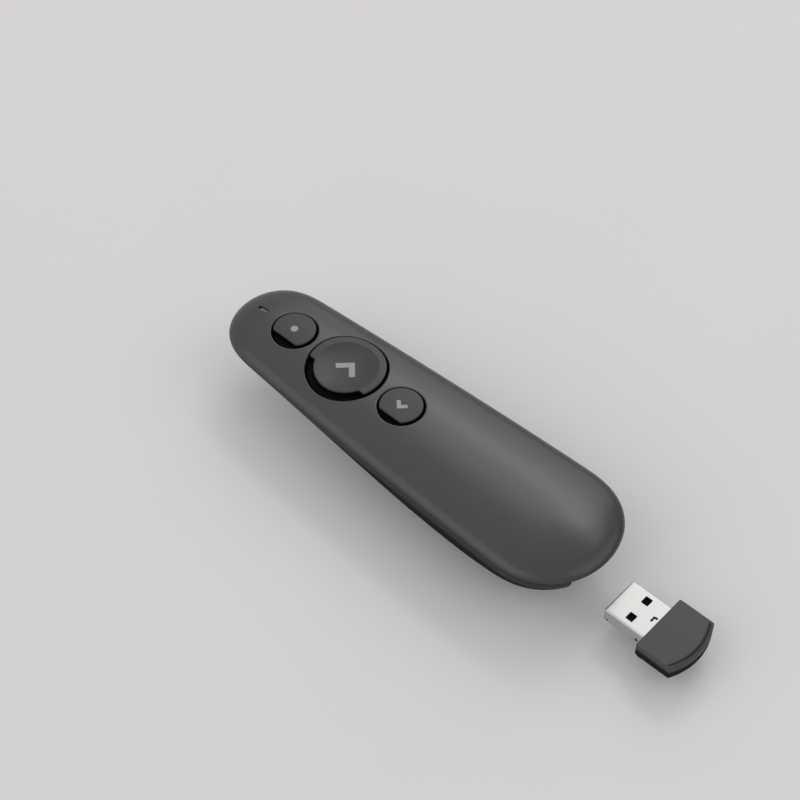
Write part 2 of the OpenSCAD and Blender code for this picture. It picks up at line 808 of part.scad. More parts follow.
// Plan of the cap: straight sides, chamfered front, rounded end
module rcv_plan(g = 0) {
    hw = rcv_w / 2 - g;
    intersection() {
        translate([0, rcv_front - rcv_l - end_sag - rest_s + rcv_end_r])
            circle(r = rcv_end_r - g, $fn = 128);
        polygon([[-hw + rcv_chamfer, rcv_front - rest_s - g],
                 [hw - rcv_chamfer, rcv_front - rest_s - g],
                 [hw, rcv_front - rcv_chamfer - rest_s - g],
                 [hw, rcv_front - far - rest_s],
                 [-hw, rcv_front - far - rest_s],
                 [-hw, rcv_front - rcv_chamfer - rest_s - g]]);
    }
}

module receiver_cap() {
    z0 = rcv_z - rcv_top_h;
    color(grey) difference() {
        translate([0, 0, z0]) linear_extrude(rcv_top_h) rcv_plan();
        plug_tail(seat_gap);
        difference() {
            translate([0, 0, rcv_z - groove_h]) linear_extrude(far) rcv_plan(groove_in);
            linear_extrude(far) rcv_plan(groove_in + groove_w);
            block(far, rcv_front - rcv_l, rcv_front + far, 0, far);
        }
        for (side = [-1, 1])
            block(2 * detent_h, rcv_front - detent_s - detent_l, rcv_front - detent_s,
                  z0 - sliver, z0 + detent_h, side * rcv_w / 2);
    }
}

module receiver_base() {
    color(grey) difference() {
        hull() {
            translate([0, 0, rcv_foot + rcv_base_h - 0.4]) linear_extrude(0.4) rcv_plan();
            translate([0, 0, rcv_foot]) linear_extrude(0.4) rcv_plan(rcv_taper);
        }
        plug_tail(seat_gap);
    }
}

// The plug's root inside the cap, grown by g
plug_root = 7;
module plug_tail(g) {
    block(plug_w + 2 * g, rcv_front - plug_root - g, rcv_front + far,
          plug_z - g, plug_z + plug_h + g);
}

// Folded sheet sleeve, drawn in at its open end, with two latch windows in its top
// and bottom and a slit where the sheet's fold is locked
latch_x = 3.2;
latch_w = 2.45;
latch_l = 2.15;
latch_back = 6.45;
lead_l = 0.9;
lead_h = 0.15;
slit_w = 2.4;
slit_l = 0.4;
plug_s0 = rcv_front - plug_root;
plug_s1 = rcv_front + plug_l;
module plug_shell() {
    slit_s = rcv_front + 1.4;
    color("silver") difference() {
        union() {
            block(plug_w, plug_s0, plug_s1 - lead_l, plug_z, plug_z + plug_h);
            hull() {
                block(plug_w, plug_s1 - lead_l - sliver, plug_s1 - lead_l,
                      plug_z, plug_z + plug_h);
                block(plug_w - 2 * lead_h, plug_s1 - sliver, plug_s1,
                      plug_z + lead_h, plug_z + plug_h - lead_h);
            }
        }
        block(plug_w - 2 * plug_sheet - 2 * lead_h, plug_s0 - 1, plug_s1 + 1,
              plug_z + plug_sheet + lead_h, plug_z + plug_h - plug_sheet - lead_h);
        block(plug_w - 2 * plug_sheet, plug_s0 - 1, plug_s1 - lead_l,
              plug_z + plug_sheet, plug_z + plug_h - plug_sheet);
        for (side = [-1, 1])
            block(latch_w, plug_s1 - latch_back - latch_l / 2,
                  plug_s1 - latch_back + latch_l / 2, 0, far, side * latch_x);
        block(slit_w, slit_s, slit_s + slit_l, rcv_foot + plug_h, far);
        block(slit_l, slit_s - 2 * slit_l, slit_s, rcv_foot + plug_h, far,
              slit_w / 2 - slit_l);
    }
}

// Tongue inside the plug, with the four contacts on it and the board behind them
tongue_t = 1.9;
leaf_t = 0.2;
leaf_w = 1.2;
leaf_in = 1;                                  // outer two contacts are longer by this
module plug_tongue() {
    color(black) block(plug_w - 2 * plug_sheet - 2 * lead_h - 2 * seat_gap,
        plug_s0 + fit_gap, plug_s1 - lead_l, plug_z + plug_sheet,
        plug_z + plug_sheet + tongue_t);
}

module plug_contacts() {
    z = plug_z + plug_sheet + tongue_t;
    for (x = [-plug_w * 0.29, -plug_w / 12, plug_w / 12, plug_w * 0.29])
        color("gold") block(leaf_w, rcv_front - plug_root / 2,
            plug_s1 - lead_l - leaf_in * (abs(x) < plug_w / 6 ? 2 : 1), z, z + leaf_t, x);
}

module receiver_board() {
    z = plug_z + plug_sheet + tongue_t + leaf_t;
    color([0.10, 0.35, 0.20]) block(plug_w - 2 * plug_sheet - 2 * seat_gap,
        plug_s0 + fit_gap, rcv_front - fit_gap, z, z + board_t);
}

// ---- Parts --------------------------------------------------------------

top_shell();
bottom_shell();
dock_liner();
battery_tray();
battery_cell();
battery_spring();
contact_negative();
contact_positive();
main_board();
board_screws();
radio_chip();
laser_switch();
next_switch();
back_switch();
status_led();
light_pipe();
laser_barrel();
laser_lens();
laser_window();
battery_door();
laser_cap();
laser_skirt();
laser_plunger();
next_cap();
next_skirt();
next_plunger();
back_cap();
back_skirt();
back_plunger();
receiver_cap();
receiver_base();
plug_shell();
plug_tongue();
plug_contacts();
receiver_board();
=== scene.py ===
"""A wireless presentation clicker with its USB receiver drawn out of the tail.

Sizes are in millimetres, as s (distance from the tail), x and z, and turn into metres in make().
"""

import json
from math import acos, asin, copysign, cos, pi, radians, sin, sqrt

import bmesh
import bpy
import numpy as np
from mathutils import Matrix, Vector
from mathutils.geometry import delaunay_2d_cdt


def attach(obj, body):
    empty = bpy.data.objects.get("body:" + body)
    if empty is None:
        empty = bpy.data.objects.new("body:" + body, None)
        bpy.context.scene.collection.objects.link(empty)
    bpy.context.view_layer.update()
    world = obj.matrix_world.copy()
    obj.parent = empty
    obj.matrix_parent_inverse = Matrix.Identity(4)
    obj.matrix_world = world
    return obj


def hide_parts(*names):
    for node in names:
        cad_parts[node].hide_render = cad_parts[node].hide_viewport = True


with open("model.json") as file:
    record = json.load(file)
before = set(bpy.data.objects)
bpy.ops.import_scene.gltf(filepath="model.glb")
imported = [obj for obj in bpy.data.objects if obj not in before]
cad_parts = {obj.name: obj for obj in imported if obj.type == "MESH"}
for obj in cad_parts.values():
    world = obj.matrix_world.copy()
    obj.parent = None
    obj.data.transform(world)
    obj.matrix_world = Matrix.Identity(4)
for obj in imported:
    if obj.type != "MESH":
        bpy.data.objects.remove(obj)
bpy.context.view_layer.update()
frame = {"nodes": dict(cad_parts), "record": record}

MM = 0.001

# ---- Sizes ----

BODY_L, TAIL_W, HEAD_W, SIDE_POWER = 130.0, 39.9, 27.6, 1.6
TAIL_ROUND, TAIL_POWER, HEAD_ROUND, HEAD_POWER = 22.4, 2.5, 17.0, 2.9
RIM_Z, CROWN, CAP_RISE, DECK_POWER, REST_S = 20.0, 4.15, 0.55, 2.6, 43.0
BELLY_TAIL, BELLY_MAX, BELLY_HEAD, BELLY_S, BELLY_POWER = 10.2, 22.4, 8.2, 38.5, 1.85
SPINE_TAIL, SPINE_HEAD = 18.0, 16.0
DECK_WALL, BELLY_WALL, FIT_GAP, SEAT_GAP = 1.8, 1.6, 0.3, 0.1
LASER_S = BODY_L - 19.7       # centres of the buttons
NEXT_S = LASER_S - 19.8
BACK_S = NEXT_S - 20.1
SMALL_R, RING_R, DISH_R, DISH_RIM, DISH_H = 5.95, 10.88, 8.8, 0.3, 1.0
LASER_CHORD, BACK_CHORD, RING_CHORD, CAP_GAP = 3.95, 4.6, 3.95, 0.62
CAP_BASE, RING_BASE = RIM_Z + CROWN + CAP_RISE - 1.7, RIM_Z + CROWN + CAP_RISE - 2.1
BOARD_TOP = RIM_Z - 1.6
SWITCH_H, PLUNGER_R, TRAVEL = 1.4, 1.2, 0.5
FLANGE_W, FLANGE_T, STEM_R = 0.65, 0.6, 1.6
PLUNGER_TOP = BOARD_TOP + SWITCH_H + TRAVEL
SLOT_S, SLOT_L, SLOT_W = BODY_L - 9.1, 3.5, 1.1
PIPE_Z, PIPE_T, PIPE_DROP = 19.1, 0.55, 0.6
CELL_D, CELL_L, CELL_S = 10.5, 44.5, 36.0
SPRING_L, SPRING_WIRE, CONTACT_T = 2.4, 0.25, 0.3
CHIP_W, CHIP_S = 5.0, BACK_S - SMALL_R - 7.5
BOARD_T, TRAY_T, CELL_GAP = 1.0, 0.8, 0.2
TRAY_TOP = BOARD_TOP - BOARD_T
CELL_Z = TRAY_TOP - TRAY_T - CELL_GAP - CELL_D / 2
DOOR_W, DOOR_S0, DOOR_S1, DOOR_R, DOOR_GAP = 19.0, CELL_S - 3, CELL_S + CELL_L + 4, 1.2, 0.25
GRIP_T, GRIP_W, NOTCH_R, NOTCH_H = 0.7, 9.0, 4.5, 0.6
RCV_W, RCV_L, RCV_END_R, RCV_TOP_H, RCV_BASE_H = 18.5, 10.7, 18.4, 4.2, 2.0
RCV_TAPER, RCV_OUT, RCV_Z = 2.0, 17.4, RIM_Z - 8.8
RCV_FOOT, RCV_FRONT = RCV_Z - RCV_TOP_H - RCV_BASE_H, -RCV_OUT
END_SAG = RCV_END_R - sqrt(RCV_END_R ** 2 - RCV_W ** 2 / 4)
RCV_CENTRE = RCV_FRONT - RCV_L - END_SAG + RCV_END_R
GROOVE_IN, GROOVE_W, GROOVE_H = 0.8, 0.5, 0.5
GROOVE_R = RCV_END_R - GROOVE_IN - GROOVE_W / 2
DETENT_S, DETENT_L, DETENT_H = 1.8, 1.4, 0.7
DOCK_S, DOCK_LIP, THUMB_HW, THUMB_IN = 5.4, 9.2, 10.6, 3.4
DOCK_FRONT = DOCK_S + END_SAG + RCV_L
PLUG_W, PLUG_H, PLUG_L, PLUG_SHEET, PLUG_ROOT = 12.0, 4.5, 12.4, 0.3, 7.0
PLUG_Z, PLUG_TIP = RCV_Z - 0.6 - PLUG_H, RCV_FRONT + PLUG_L
TONGUE_TIP, TONGUE_Z = PLUG_TIP - 0.9, PLUG_Z + PLUG_SHEET + 1.9
LASER_Z, WINDOW_R, WINDOW_S = RIM_Z - 3.7, 1.9, BODY_L - 6.2
MODULE_S = BODY_L - 15.4      # tail end of the laser module

# ---- Form of the body ----


def half_width(s):
    """Half width of the outline at distance s from the tail."""
    def end(along, power):
        return np.sqrt(np.clip(1 - np.abs(1 - np.minimum(along, 1)) ** power, 0, 1))
    s = np.asarray(s, float)
    straight = (TAIL_W - (TAIL_W - HEAD_W) * np.clip(s / BODY_L, 0, 1) ** SIDE_POWER) / 2
    return straight * end(s / TAIL_ROUND, TAIL_POWER) * end((BODY_L - s) / HEAD_ROUND, HEAD_POWER)


def outward(along):
    """Outward normals of an anticlockwise outline with these tangents."""
    along = along / np.linalg.norm(along, axis=-1, keepdims=True)
    return np.stack([along[..., 1], -along[..., 0]], -1)


def rim_s(a):
    return BODY_L / 2 * (1 - np.cos(a))


def rim(a, inset):
    """Outline points for angles a, from the tail along -x to the head and back, moved in by inset."""
    def raw(a):
        s = rim_s(a)
        return np.stack([-np.sign(np.sin(a)) * half_width(s), s], -1)
    step = 2e-3
    return raw(a) + inset * outward(raw(a + step) - raw(a - step))


def hub(s):
    """Place on the spine that an outline point at s is drawn to."""
    return SPINE_TAIL + (BODY_L - SPINE_TAIL - SPINE_HEAD) * s / BODY_L


def reach(x, s):
    """How far plan points lie from the spine, 1 at the outline."""
    x = np.maximum(np.abs(np.asarray(x, float)), 1e-4)
    low, high = np.full(x.shape, 1e-7), np.full(x.shape, pi - 1e-7)
    for _ in range(46):
        a = (low + high) / 2
        rs = rim_s(a)
        over = hub(rs) + x / half_width(rs) * (rs - hub(rs)) > s
        high, low = np.where(over, a, high), np.where(over, low, a)
    return np.clip(x / half_width(rs), 0, 1)


def dome(share, drop=0.0):
    """Height of the deck at a share of the way from the spine to the outline."""
    return RIM_Z + (CROWN - drop) * np.sqrt(1 - share ** DECK_POWER)


def deck_height(x, s, drop=0.0):
    return dome(reach(x, s), drop)


def belly_depth(s):
    tail = BELLY_TAIL + (BELLY_MAX - BELLY_TAIL) * np.sin(pi / 2 * np.clip(s / BELLY_S, 0, 1))
    u = np.clip((s - BELLY_S) / (BODY_L - BELLY_S), 0, 1)
    head = BELLY_HEAD + (BELLY_MAX - BELLY_HEAD) * (1 + np.cos(pi * u)) / 2
    return np.where(s < BELLY_S, tail, head)


def hull(share, s, wall):
    """Height of the belly at a share of the way from the spine to the outline."""
    depth = (belly_depth(s) - wall) * (1 - share ** BELLY_POWER) ** (1 / BELLY_POWER)
    return np.maximum(wall, RIM_Z - depth)


def belly_height(x, s, wall=0.0):
    return hull(reach(x, s), s, wall)


def belly_lining(x, s):
    return belly_height(x, s, BELLY_WALL)


# ---- Mesh helpers ----


def ring(n):
    return np.arange(n) * 2 * pi / n


def polar(a):
    return np.stack([np.cos(a), np.sin(a)], -1)


def circle(x, s, r, n):
    """Outline as points and outward normals, so that it can be moved out or in."""
    way = polar(ring(n))
    return np.array([x, s]) + r * way, way


def circles(x, s, radii, n):
    return [circle(x, s, r, n)[0] for r in radii]


def outline(points, step=0.12, soften=0.0, count=0):
    """Outline through points in anticlockwise order, evenly spaced, its corners softened."""
    p = np.array(points, float)
    q = np.vstack([p, p[:1]])
    run = np.concatenate([[0], np.cumsum(np.linalg.norm(np.diff(q, axis=0), axis=1))])
    n = count or int(run[-1] / step)
    at = np.arange(n) * run[-1] / n
    p = np.stack([np.interp(at, run, q[:, k]) for k in (0, 1)], -1)
    if soften:
        width = soften * n / run[-1]
        k = np.minimum(np.arange(n), n - np.arange(n))
        kernel = np.exp(-(k / width) ** 2 / 2)
        kernel = np.fft.fft(kernel / kernel.sum())
        p = np.real(np.fft.ifft(np.fft.fft(p, axis=0) * kernel[:, None], axis=0))
    return p, outward(np.roll(p, -1, 0) - np.roll(p, 1, 0))


def moved(edge, out):
    return edge[0] + out * edge[1]


def inside(points, loop):
    """Which plan points lie inside a closed loop."""
    x, y = points[:, 0][:, None], points[:, 1][:, None]
    x0, y0 = loop[:, 0], loop[:, 1]
    x1, y1 = np.roll(x0, -1), np.roll(y0, -1)
    with np.errstate(divide="ignore", invalid="ignore"):
        cross = ((y0 > y) != (y1 > y)) & (x < (x1 - x0) * (y - y0) / (y1 - y0) + x0)
    return cross.sum(1) % 2 == 1


GRID_ROW, GRID_CLEAR = 0.866, 0.62    # row spacing of the grid and its way from the loops, in steps


def in_area(points, outer, holes):
    """Which plan points lie inside outer and outside every hole."""
    keep = inside(points, outer)
    for hole in holes:
        keep &= ~inside(points, hole)
    return keep


def fill(outer, holes, step, extra=()):
    """Points and triangles over the plan area inside outer and outside the holes, through the extra
    points, and for each loop the numbers of its points."""
    loops = [outer, *holes]
    ends = np.cumsum([len(loop) for loop in loops]).tolist()
    edges = [(start + i, start + (i + 1) % (end - start))
             for start, end in zip([0] + ends, ends) for i in range(end - start)]
    low, high = outer.min(0), outer.max(0)
    columns = np.arange(low[0], high[0], step)
    grid = np.vstack([np.stack([columns + step / 2 * (k % 2), np.full(len(columns), y)], -1)
                      for k, y in enumerate(np.arange(low[1], high[1], step * GRID_ROW))])
    near = np.vstack([*loops, *extra])
    gap = np.full(len(grid), 1e9)
    for part in np.array_split(near, max(1, len(near) // 400)):
        gap = np.minimum(gap, np.linalg.norm(grid[:, None] - part[None], axis=2).min(1))
    added = np.vstack([grid[gap > step * GRID_CLEAR], *extra])
    points = np.vstack([*loops, added[in_area(added, outer, holes)]])
    out = delaunay_2d_cdt([Vector(p) for p in points], edges, [], 0, 1e-6)
    verts, tris = np.array([tuple(v) for v in out[0]]), np.array([tuple(f) for f in out[2]])
    order = np.full(len(points), -1)
    order[[o[0] if o else 0 for o in out[3]]] = np.arange(len(verts))
    return verts, tris[in_area(verts[tris].mean(1), outer, holes)], np.split(order[:ends[-1]], ends[:-1])


def step_down(d, soft):
    """1 where d is below zero and 0 above, with a soft step between."""
    return (1 - np.tanh(np.asarray(d) / (2 * soft))) / 2


class Shell:
    """Collects points and faces, in x, s, z millimetres."""

    def __init__(self):
        self.points, self.faces = [], []

    def add(self, plan, z):
        start = len(self.points)
        self.points += [(p[0], p[1], h) for p, h in zip(plan, np.broadcast_to(z, len(plan)))]
        return np.arange(start, len(self.points))

    def lay(self, plan, height, lift=0.0):
        """Adds plan points at a height, which may be a function of x and s, lifted by lift."""
        return self.add(plan, (height(plan[:, 0], plan[:, 1]) if callable(height) else height) + lift)

    def tris(self, tris, ids):
        self.faces += ids[tris].tolist()

    def band(self, a, b):
        """Faces between two rings, of which one may be a single point."""
        sides = [a, np.roll(a, -1), np.roll(b, -1), b]
        if 1 in (len(a), len(b)):
            tip, loop = sorted((a, b), key=len)
            sides = [np.repeat(tip, len(loop)), loop, np.roll(loop, -1)]
        self.faces += np.stack(sides, -1).tolist()

    def bands(self, rings):
        for a, b in zip(rings, rings[1:]):
            self.band(a, b)

    def wall(self, edge, up, down, top, bottom, over, under, way=1):
        """Wall along an outline, rounded (out, below) its top and (out, above) its foot."""
        self.bands([up, *(self.lay(moved(edge, way * out), top, -below) for out, below in over),
                    *(self.lay(moved(edge, way * out), bottom, above) for out, above in under), down])

    def merge(self, other):
        start = len(self.points)
        self.points += other.points
        self.faces += [[i + start for i in f] for f in other.faces]


def metres(points):
    return [(x * MM, (s - REST_S) * MM, z * MM) for x, s, z in points]


def add_object(name, data):
    obj = bpy.data.objects.new(name, data)
    bpy.context.scene.collection.objects.link(obj)
    return obj


def shade(mesh, sharp=35):
    """Smooth faces, with an edge wherever they meet at more than the sharp angle."""
    mesh.polygons.foreach_set("use_smooth", [True] * len(mesh.polygons))
    mesh.set_sharp_from_angle(angle=radians(sharp))


def make(name, shell, weld=1e-7, sharp=35):
    """Turns a shell into a mesh object in metres."""
    mesh = bpy.data.meshes.new(name)
    mesh.from_pydata(metres(shell.points), [], shell.faces)
    clean(mesh, weld, sharp)
    return add_object(name, mesh)


def clean(mesh, weld=1e-7, sharp=35, thin=1e-7, bevel=0.0):
    """Welds a mesh, rounds its edges by bevel where asked, and points its faces outwards."""
    bm = bmesh.new()
    bm.from_mesh(mesh)
    bmesh.ops.remove_doubles(bm, verts=bm.verts, dist=weld)
    bmesh.ops.dissolve_degenerate(bm, edges=bm.edges, dist=thin)
    if bevel:
        edges = [e for e in bm.edges if len(e.link_faces) == 2 and e.calc_face_angle(0) > BEVEL_ANGLE]
        bmesh.ops.bevel(bm, geom=edges, offset=bevel, offset_type="OFFSET", segments=2, profile=0.5,
                        affect="EDGES", clamp_overlap=True)
    bmesh.ops.recalc_face_normals(bm, faces=bm.faces)
    bm.to_mesh(mesh)
    bm.free()
    shade(mesh, sharp)


def fillet(r, steps=4):
    """Way round an edge: distance out from the wall and distance below the face."""
    turns = np.linspace(0, pi / 2, steps + 1)
    return [(r * (1 - sin(t)), r * (1 - cos(t))) for t in turns]


def plate(edge, top, bottom, round_top, round_foot, step, extra=(), holes=()):
    """Closed plate inside an outline, between a top and a bottom height, its edges rounded. A hole is an
    outline too; it goes right through."""
    shell = Shell()
    start = moved(edge, -round_top)
    hole_starts = [moved(h, round_top) for h in holes]
    inner = [moved(edge, -round_top - 0.15)[::2]] + [moved(h, round_top + 0.15)[::2] for h in holes]
    verts, tris, loop_ids = fill(start, hole_starts, step, [*extra, *inner])
    up = shell.lay(verts, top)
    shell.tris(tris, up)
    down = shell.lay(verts, bottom)
    over, under = fillet(round_top)[1:], fillet(round_foot, 2)[:0:-1]
    for e, ids, way in zip([edge, *holes], loop_ids, [-1] + [1] * len(holes)):
        shell.wall(e, up[ids], down[ids], top, bottom, over, under, way)
    shell.tris(tris[:, ::-1], down)
    return shell


def mould(name, *form):
    """Piece made of one plate."""
    return make(name, plate(*form))


def lathe(profile, s, z, n, along_s=False):
    """Turned piece on the middle plane from (radius, height) pairs, about +z or along the body."""
    shell = Shell()
    rings = []
    for r, h in profile:
        c, d = r * polar(ring(n)[:n if r > 1e-6 else 1]).T
        if along_s:
            rings.append(shell.add(np.stack([c, np.full(len(c), s + h)], -1), z + d))
        else:
            rings.append(shell.add(np.stack([c, s + d], -1), z + h))
    shell.bands(rings)
    return shell


def corners(x, w, s0, s1):
    return [(x - w / 2, s0), (x + w / 2, s0), (x + w / 2, s1), (x - w / 2, s1)]


def evaluated(obj):
    """Mesh that the modifiers of obj make; they are cleared."""
    graph = bpy.context.evaluated_depsgraph_get()
    mesh = bpy.data.meshes.new_from_object(obj.evaluated_get(graph))
    obj.modifiers.clear()
    return mesh


def cut(obj, *tools):
    """Takes tools away from obj and removes them."""
    for tool in tools:
        m = obj.modifiers.new("cut", "BOOLEAN")
        m.operation, m.solver, m.object = "DIFFERENCE", "EXACT", tool
        old, obj.data = obj.data, evaluated(obj)
        bpy.data.meshes.remove(old)
    for tool in tools:
        bpy.data.objects.remove(tool)
    shade(obj.data)
    return obj


# ---- Shells ----

BEVEL_ANGLE = radians(38)
RIM_N = 480
RIM_A = ring(RIM_N) + pi / RIM_N
DECK_TURN = 0.86              # share of the deck that is laid out in plan
buttons = {"laser": (LASER_S, SMALL_R), "next": (NEXT_S, RING_R), "back": (BACK_S, SMALL_R)}


def stadium(s0, s1, w):
    a = ring(72)
    end = np.where(np.sin(a) >= 0, s1 - w / 2, s0 + w / 2)
    return np.stack([0 * end, end], -1) + w / 2 * polar(a), polar(a)


def from_spine(a, share, inset=0.0):
    """Plan points at a share of the way from the spine to the outline."""
    p = rim(a, inset)
    h = np.stack([np.zeros(len(a)), hub(rim_s(a))], -1)
    return h + np.asarray(share)[..., None] * (p - h)


def deck_shell():
    def ceiling(x, s):
        return deck_height(x, s, DECK_WALL)
    holes = [circle(0, s, r + CAP_GAP, 200 if r > 8 else 144) for s, r in buttons.values()]
    holes.append(stadium(SLOT_S, SLOT_S + SLOT_L, SLOT_W))
    rounds = [0.3, 0.3, 0.3, 0.1]
    extra = [moved(h, d)[::k] for h in holes for d, k in ((0.55, 2), (1.0, 3))]
    starts = [moved(h, r) for h, r in zip(holes, rounds)]
    verts, tris, (rim_ids, *hole_ids) = fill(from_spine(RIM_A, DECK_TURN), starts, 1.15, extra)
    shell = Shell()
    up, down = shell.lay(verts, deck_height), shell.lay(verts, ceiling)
    shell.tris(tris, up)
    shell.tris(tris[:, ::-1], down)
    for h, r, ids in zip(holes, rounds, hole_ids):
        shell.wall(h, up[ids], down[ids], deck_height, ceiling, fillet(r, 5)[1:], [(0, 0)])
    rings = [up[rim_ids]]
    rings += [shell.add(from_spine(RIM_A, share), dome(share))
              for share in (0.89, 0.915, 0.937, 0.955, 0.97, 0.981, 0.989, 0.9945, 0.998, 0.9995)]
    rings += [shell.add(rim(RIM_A, inset), RIM_Z + z)
              for inset, z in ((0.03, 0.12), (0.10, 0.05), (0.25, 0.0), (DECK_WALL, 0.0))]
    rings += [shell.add(from_spine(RIM_A, share, DECK_WALL), dome(share, DECK_WALL))
              for share in (0.97, 0.93, 0.89)]
    shell.bands(rings + [down[rim_ids]])
    return make("deck_shell", shell)


# Shares of the way out from the spine at which the belly's skin has a ring.
BELLY_SHARES = [0.9995, 0.998, 0.9945, 0.989, 0.981, 0.97, 0.957, 0.94, 0.92, 0.897, 0.87, 0.84, 0.805,
                0.77, 0.73, 0.69, 0.645, 0.6, 0.55, 0.5, 0.45, 0.4, 0.35, 0.3, 0.25, 0.2, 0.15, 0.1, 0.05]


def belly_blank():
    """The whole belly as a closed wall, before its openings are cut."""
    shell = Shell()
    def skin(shares, wall):
        plans = [from_spine(RIM_A, share, wall) for share in shares]
        return [shell.add(p, hull(share, p[:, 1], wall)) for share, p in zip(shares, plans)]
    edge = [shell.add(rim(RIM_A, inset), RIM_Z + z)
            for inset, z in ((BELLY_WALL, 0.0), (0.25, 0.0), (0.10, -0.05), (0.03, -0.12))]
    outer, inner = skin(BELLY_SHARES, 0.0), skin(BELLY_SHARES[3::2], BELLY_WALL)
    shell.bands(edge + outer)
    shell.bands(edge[:1] + inner)
    for last in (outer[-1], inner[-1]):
        back = last[::-1]
        strip = np.stack([last[:-1], last[1:], back[1:], back[:-1]], -1)
        shell.faces += strip[:RIM_N // 2 - 1].tolist()
    return make("belly_shell", shell)


def corner_arcs(w, s0, s1, r, n):
    """Angles and points of the arcs round the four corners of a rectangle."""
    x1, s0, s1 = w / 2 - r, s0 + r, s1 - r
    for k, centre in enumerate(((x1, s1), (-x1, s1), (-x1, s0), (x1, s0))):
        t = np.linspace(0, pi / 2, n) + k * pi / 2
        yield t, np.array(centre) + r * polar(t)


def rounded(w, s0, s1, r, grow=0.0, step=0.25):
    """Outline of a rectangle with round corners, grown on all sides."""
    arcs = corner_arcs(w + 2 * grow, s0 - grow, s1 + grow, r + grow, 10)
    return outline(np.vstack([points for turns, points in arcs]), step)


def prism(loop, z0, z1):
    """Plain upright tool for a cut."""
    shell = Shell()
    low, high = shell.add(loop, z0), shell.add(loop, z1)
    shell.band(low, high)
    shell.faces += [low[::-1].tolist(), high.tolist()]
    return make("tool", shell)


def bar(w, s0, s1, r, z0, z1, grow, step, x=0.0):
    """Upright tool with a round-cornered plan."""
    return prism(rounded(w, s0, s1, r, grow, step)[0] + np.array([x, 0]), z0, z1)


def belly_shell():
    belly = belly_blank()
    door = bar(DOOR_W, DOOR_S0, DOOR_S1, DOOR_R, -5, CELL_Z, DOOR_GAP, 0.6)
    hw = RCV_W / 2 + FIT_GAP
    s_lip, s_thumb = DOCK_S + DOCK_LIP, DOCK_S + THUMB_IN
    mouth = outline([(-THUMB_HW, -5), (THUMB_HW, -5), (THUMB_HW, s_thumb), (hw, s_thumb), (hw, s_lip),
                     (-hw, s_lip), (-hw, s_thumb), (-THUMB_HW, s_thumb)], 0.5, 0.35)[0]
    dock = prism(mouth, -5, RIM_Z + 1)
    room = bar(RCV_W, -5, DOCK_FRONT, 0.2, RCV_FOOT - FIT_GAP, RCV_Z + FIT_GAP, FIT_GAP, 1.0)
    pocket = bar(PLUG_W, 0, DOCK_FRONT + PLUG_L, 0.2, PLUG_Z - FIT_GAP, PLUG_Z + PLUG_H + FIT_GAP,
                 FIT_GAP, 1.0)
    notch = prism(circle(0, DOOR_S0 - DOOR_GAP, NOTCH_R, 64)[0], -1, NOTCH_H)
    r = WINDOW_R + 0.05
    lens = make("tool", lathe([(0, 0), (r, 0), (r, 30), (0, 30)], BODY_L - HEAD_ROUND, LASER_Z, 64, True))
    cut(belly, door, dock, room, pocket, notch, lens)
    clean(belly.data, 0.06 * MM, 50, 1e-6, 0.18 * MM)
    return belly


# ---- Buttons ----

CAP_SKIN, PRINT_T = 0.5, 0.02  # grey layer of a cap, whose core is black, and the print on it


def arc_points(x, s, r, a0, a1, step=0.1):
    n = max(3, int(abs(a1 - a0) * r / step))
    return list(np.array([x, s]) + r * polar(np.linspace(a0, a1, n)))


def cap_height(x, s):
    return deck_height(x, s) + CAP_RISE - PRINT_T


def small_cap(s, chord):
    turn = acos(-chord / SMALL_R)
    return outline(arc_points(0, s, SMALL_R, -turn, turn), 0.12, 0.16)


def cap_pair(name, edge, top, base, round_top, extra=()):
    """Grey top layer of a cap and the black core under it."""
    def under(x, s):
        return top(x, s) - CAP_SKIN
    core_edge = (moved(edge, -0.03), edge[1])
    return (mould(name + "_top", edge, top, under, round_top, 0.05, 0.8, extra),
            mould(name + "_core", core_edge, lambda x, s: under(x, s) + 0.02, base, 0.04, 0.1, 1.2))


def dish(x, s):
    """Height of the next button's top: the deck's curve with a round dish in it."""
    r = np.hypot(x, s - NEXT_S)
    return cap_height(x, s) - DISH_H * np.clip(1 - (r / DISH_R) ** 2.8, 0, 1)


def next_cap():
    pad_r = DISH_R + DISH_RIM
    turn = acos(-RING_CHORD / RING_R)
    meet = acos(-RING_CHORD / pad_r)
    path = arc_points(0, NEXT_S, RING_R, -turn, turn)
    path += arc_points(0, NEXT_S, pad_r, meet, 2 * pi - meet)
    edge = outline(path, 0.1, 0.2)
    rings = circles(0, NEXT_S, DISH_R + np.array([-0.9, -0.45, -0.15, 0.0, 0.3]), 150)
    return cap_pair("next_button", edge, dish, RING_BASE, 0.2, rings)


def skirt(name, s, r, top):
    """Black skirt of a button: stem, flange under the deck and the wall that fills its hole."""
    z, out = PLUNGER_TOP, r + CAP_GAP + FLANGE_W
    flange = z + 0.1
    high = flange + FLANGE_T
    profile = [(0, z), (STEM_R, z), (STEM_R, flange), (out - 0.1, flange), (out, flange + 0.1),
               (out, high - 0.1), (out - 0.1, high), (r, high), (r, top - 0.15), (r - 0.15, top), (0, top)]
    return make(name, lathe(profile, s, 0, 128))


def print_on(name, points, height, soften):
    """Thin printed mark that lies on a button."""
    return mould(name, outline(points, 0.09, soften), lambda x, s: height(x, s) + PRINT_T,
                 lambda x, s: height(x, s) - 0.05, 0.02, 0.01, 0.4)


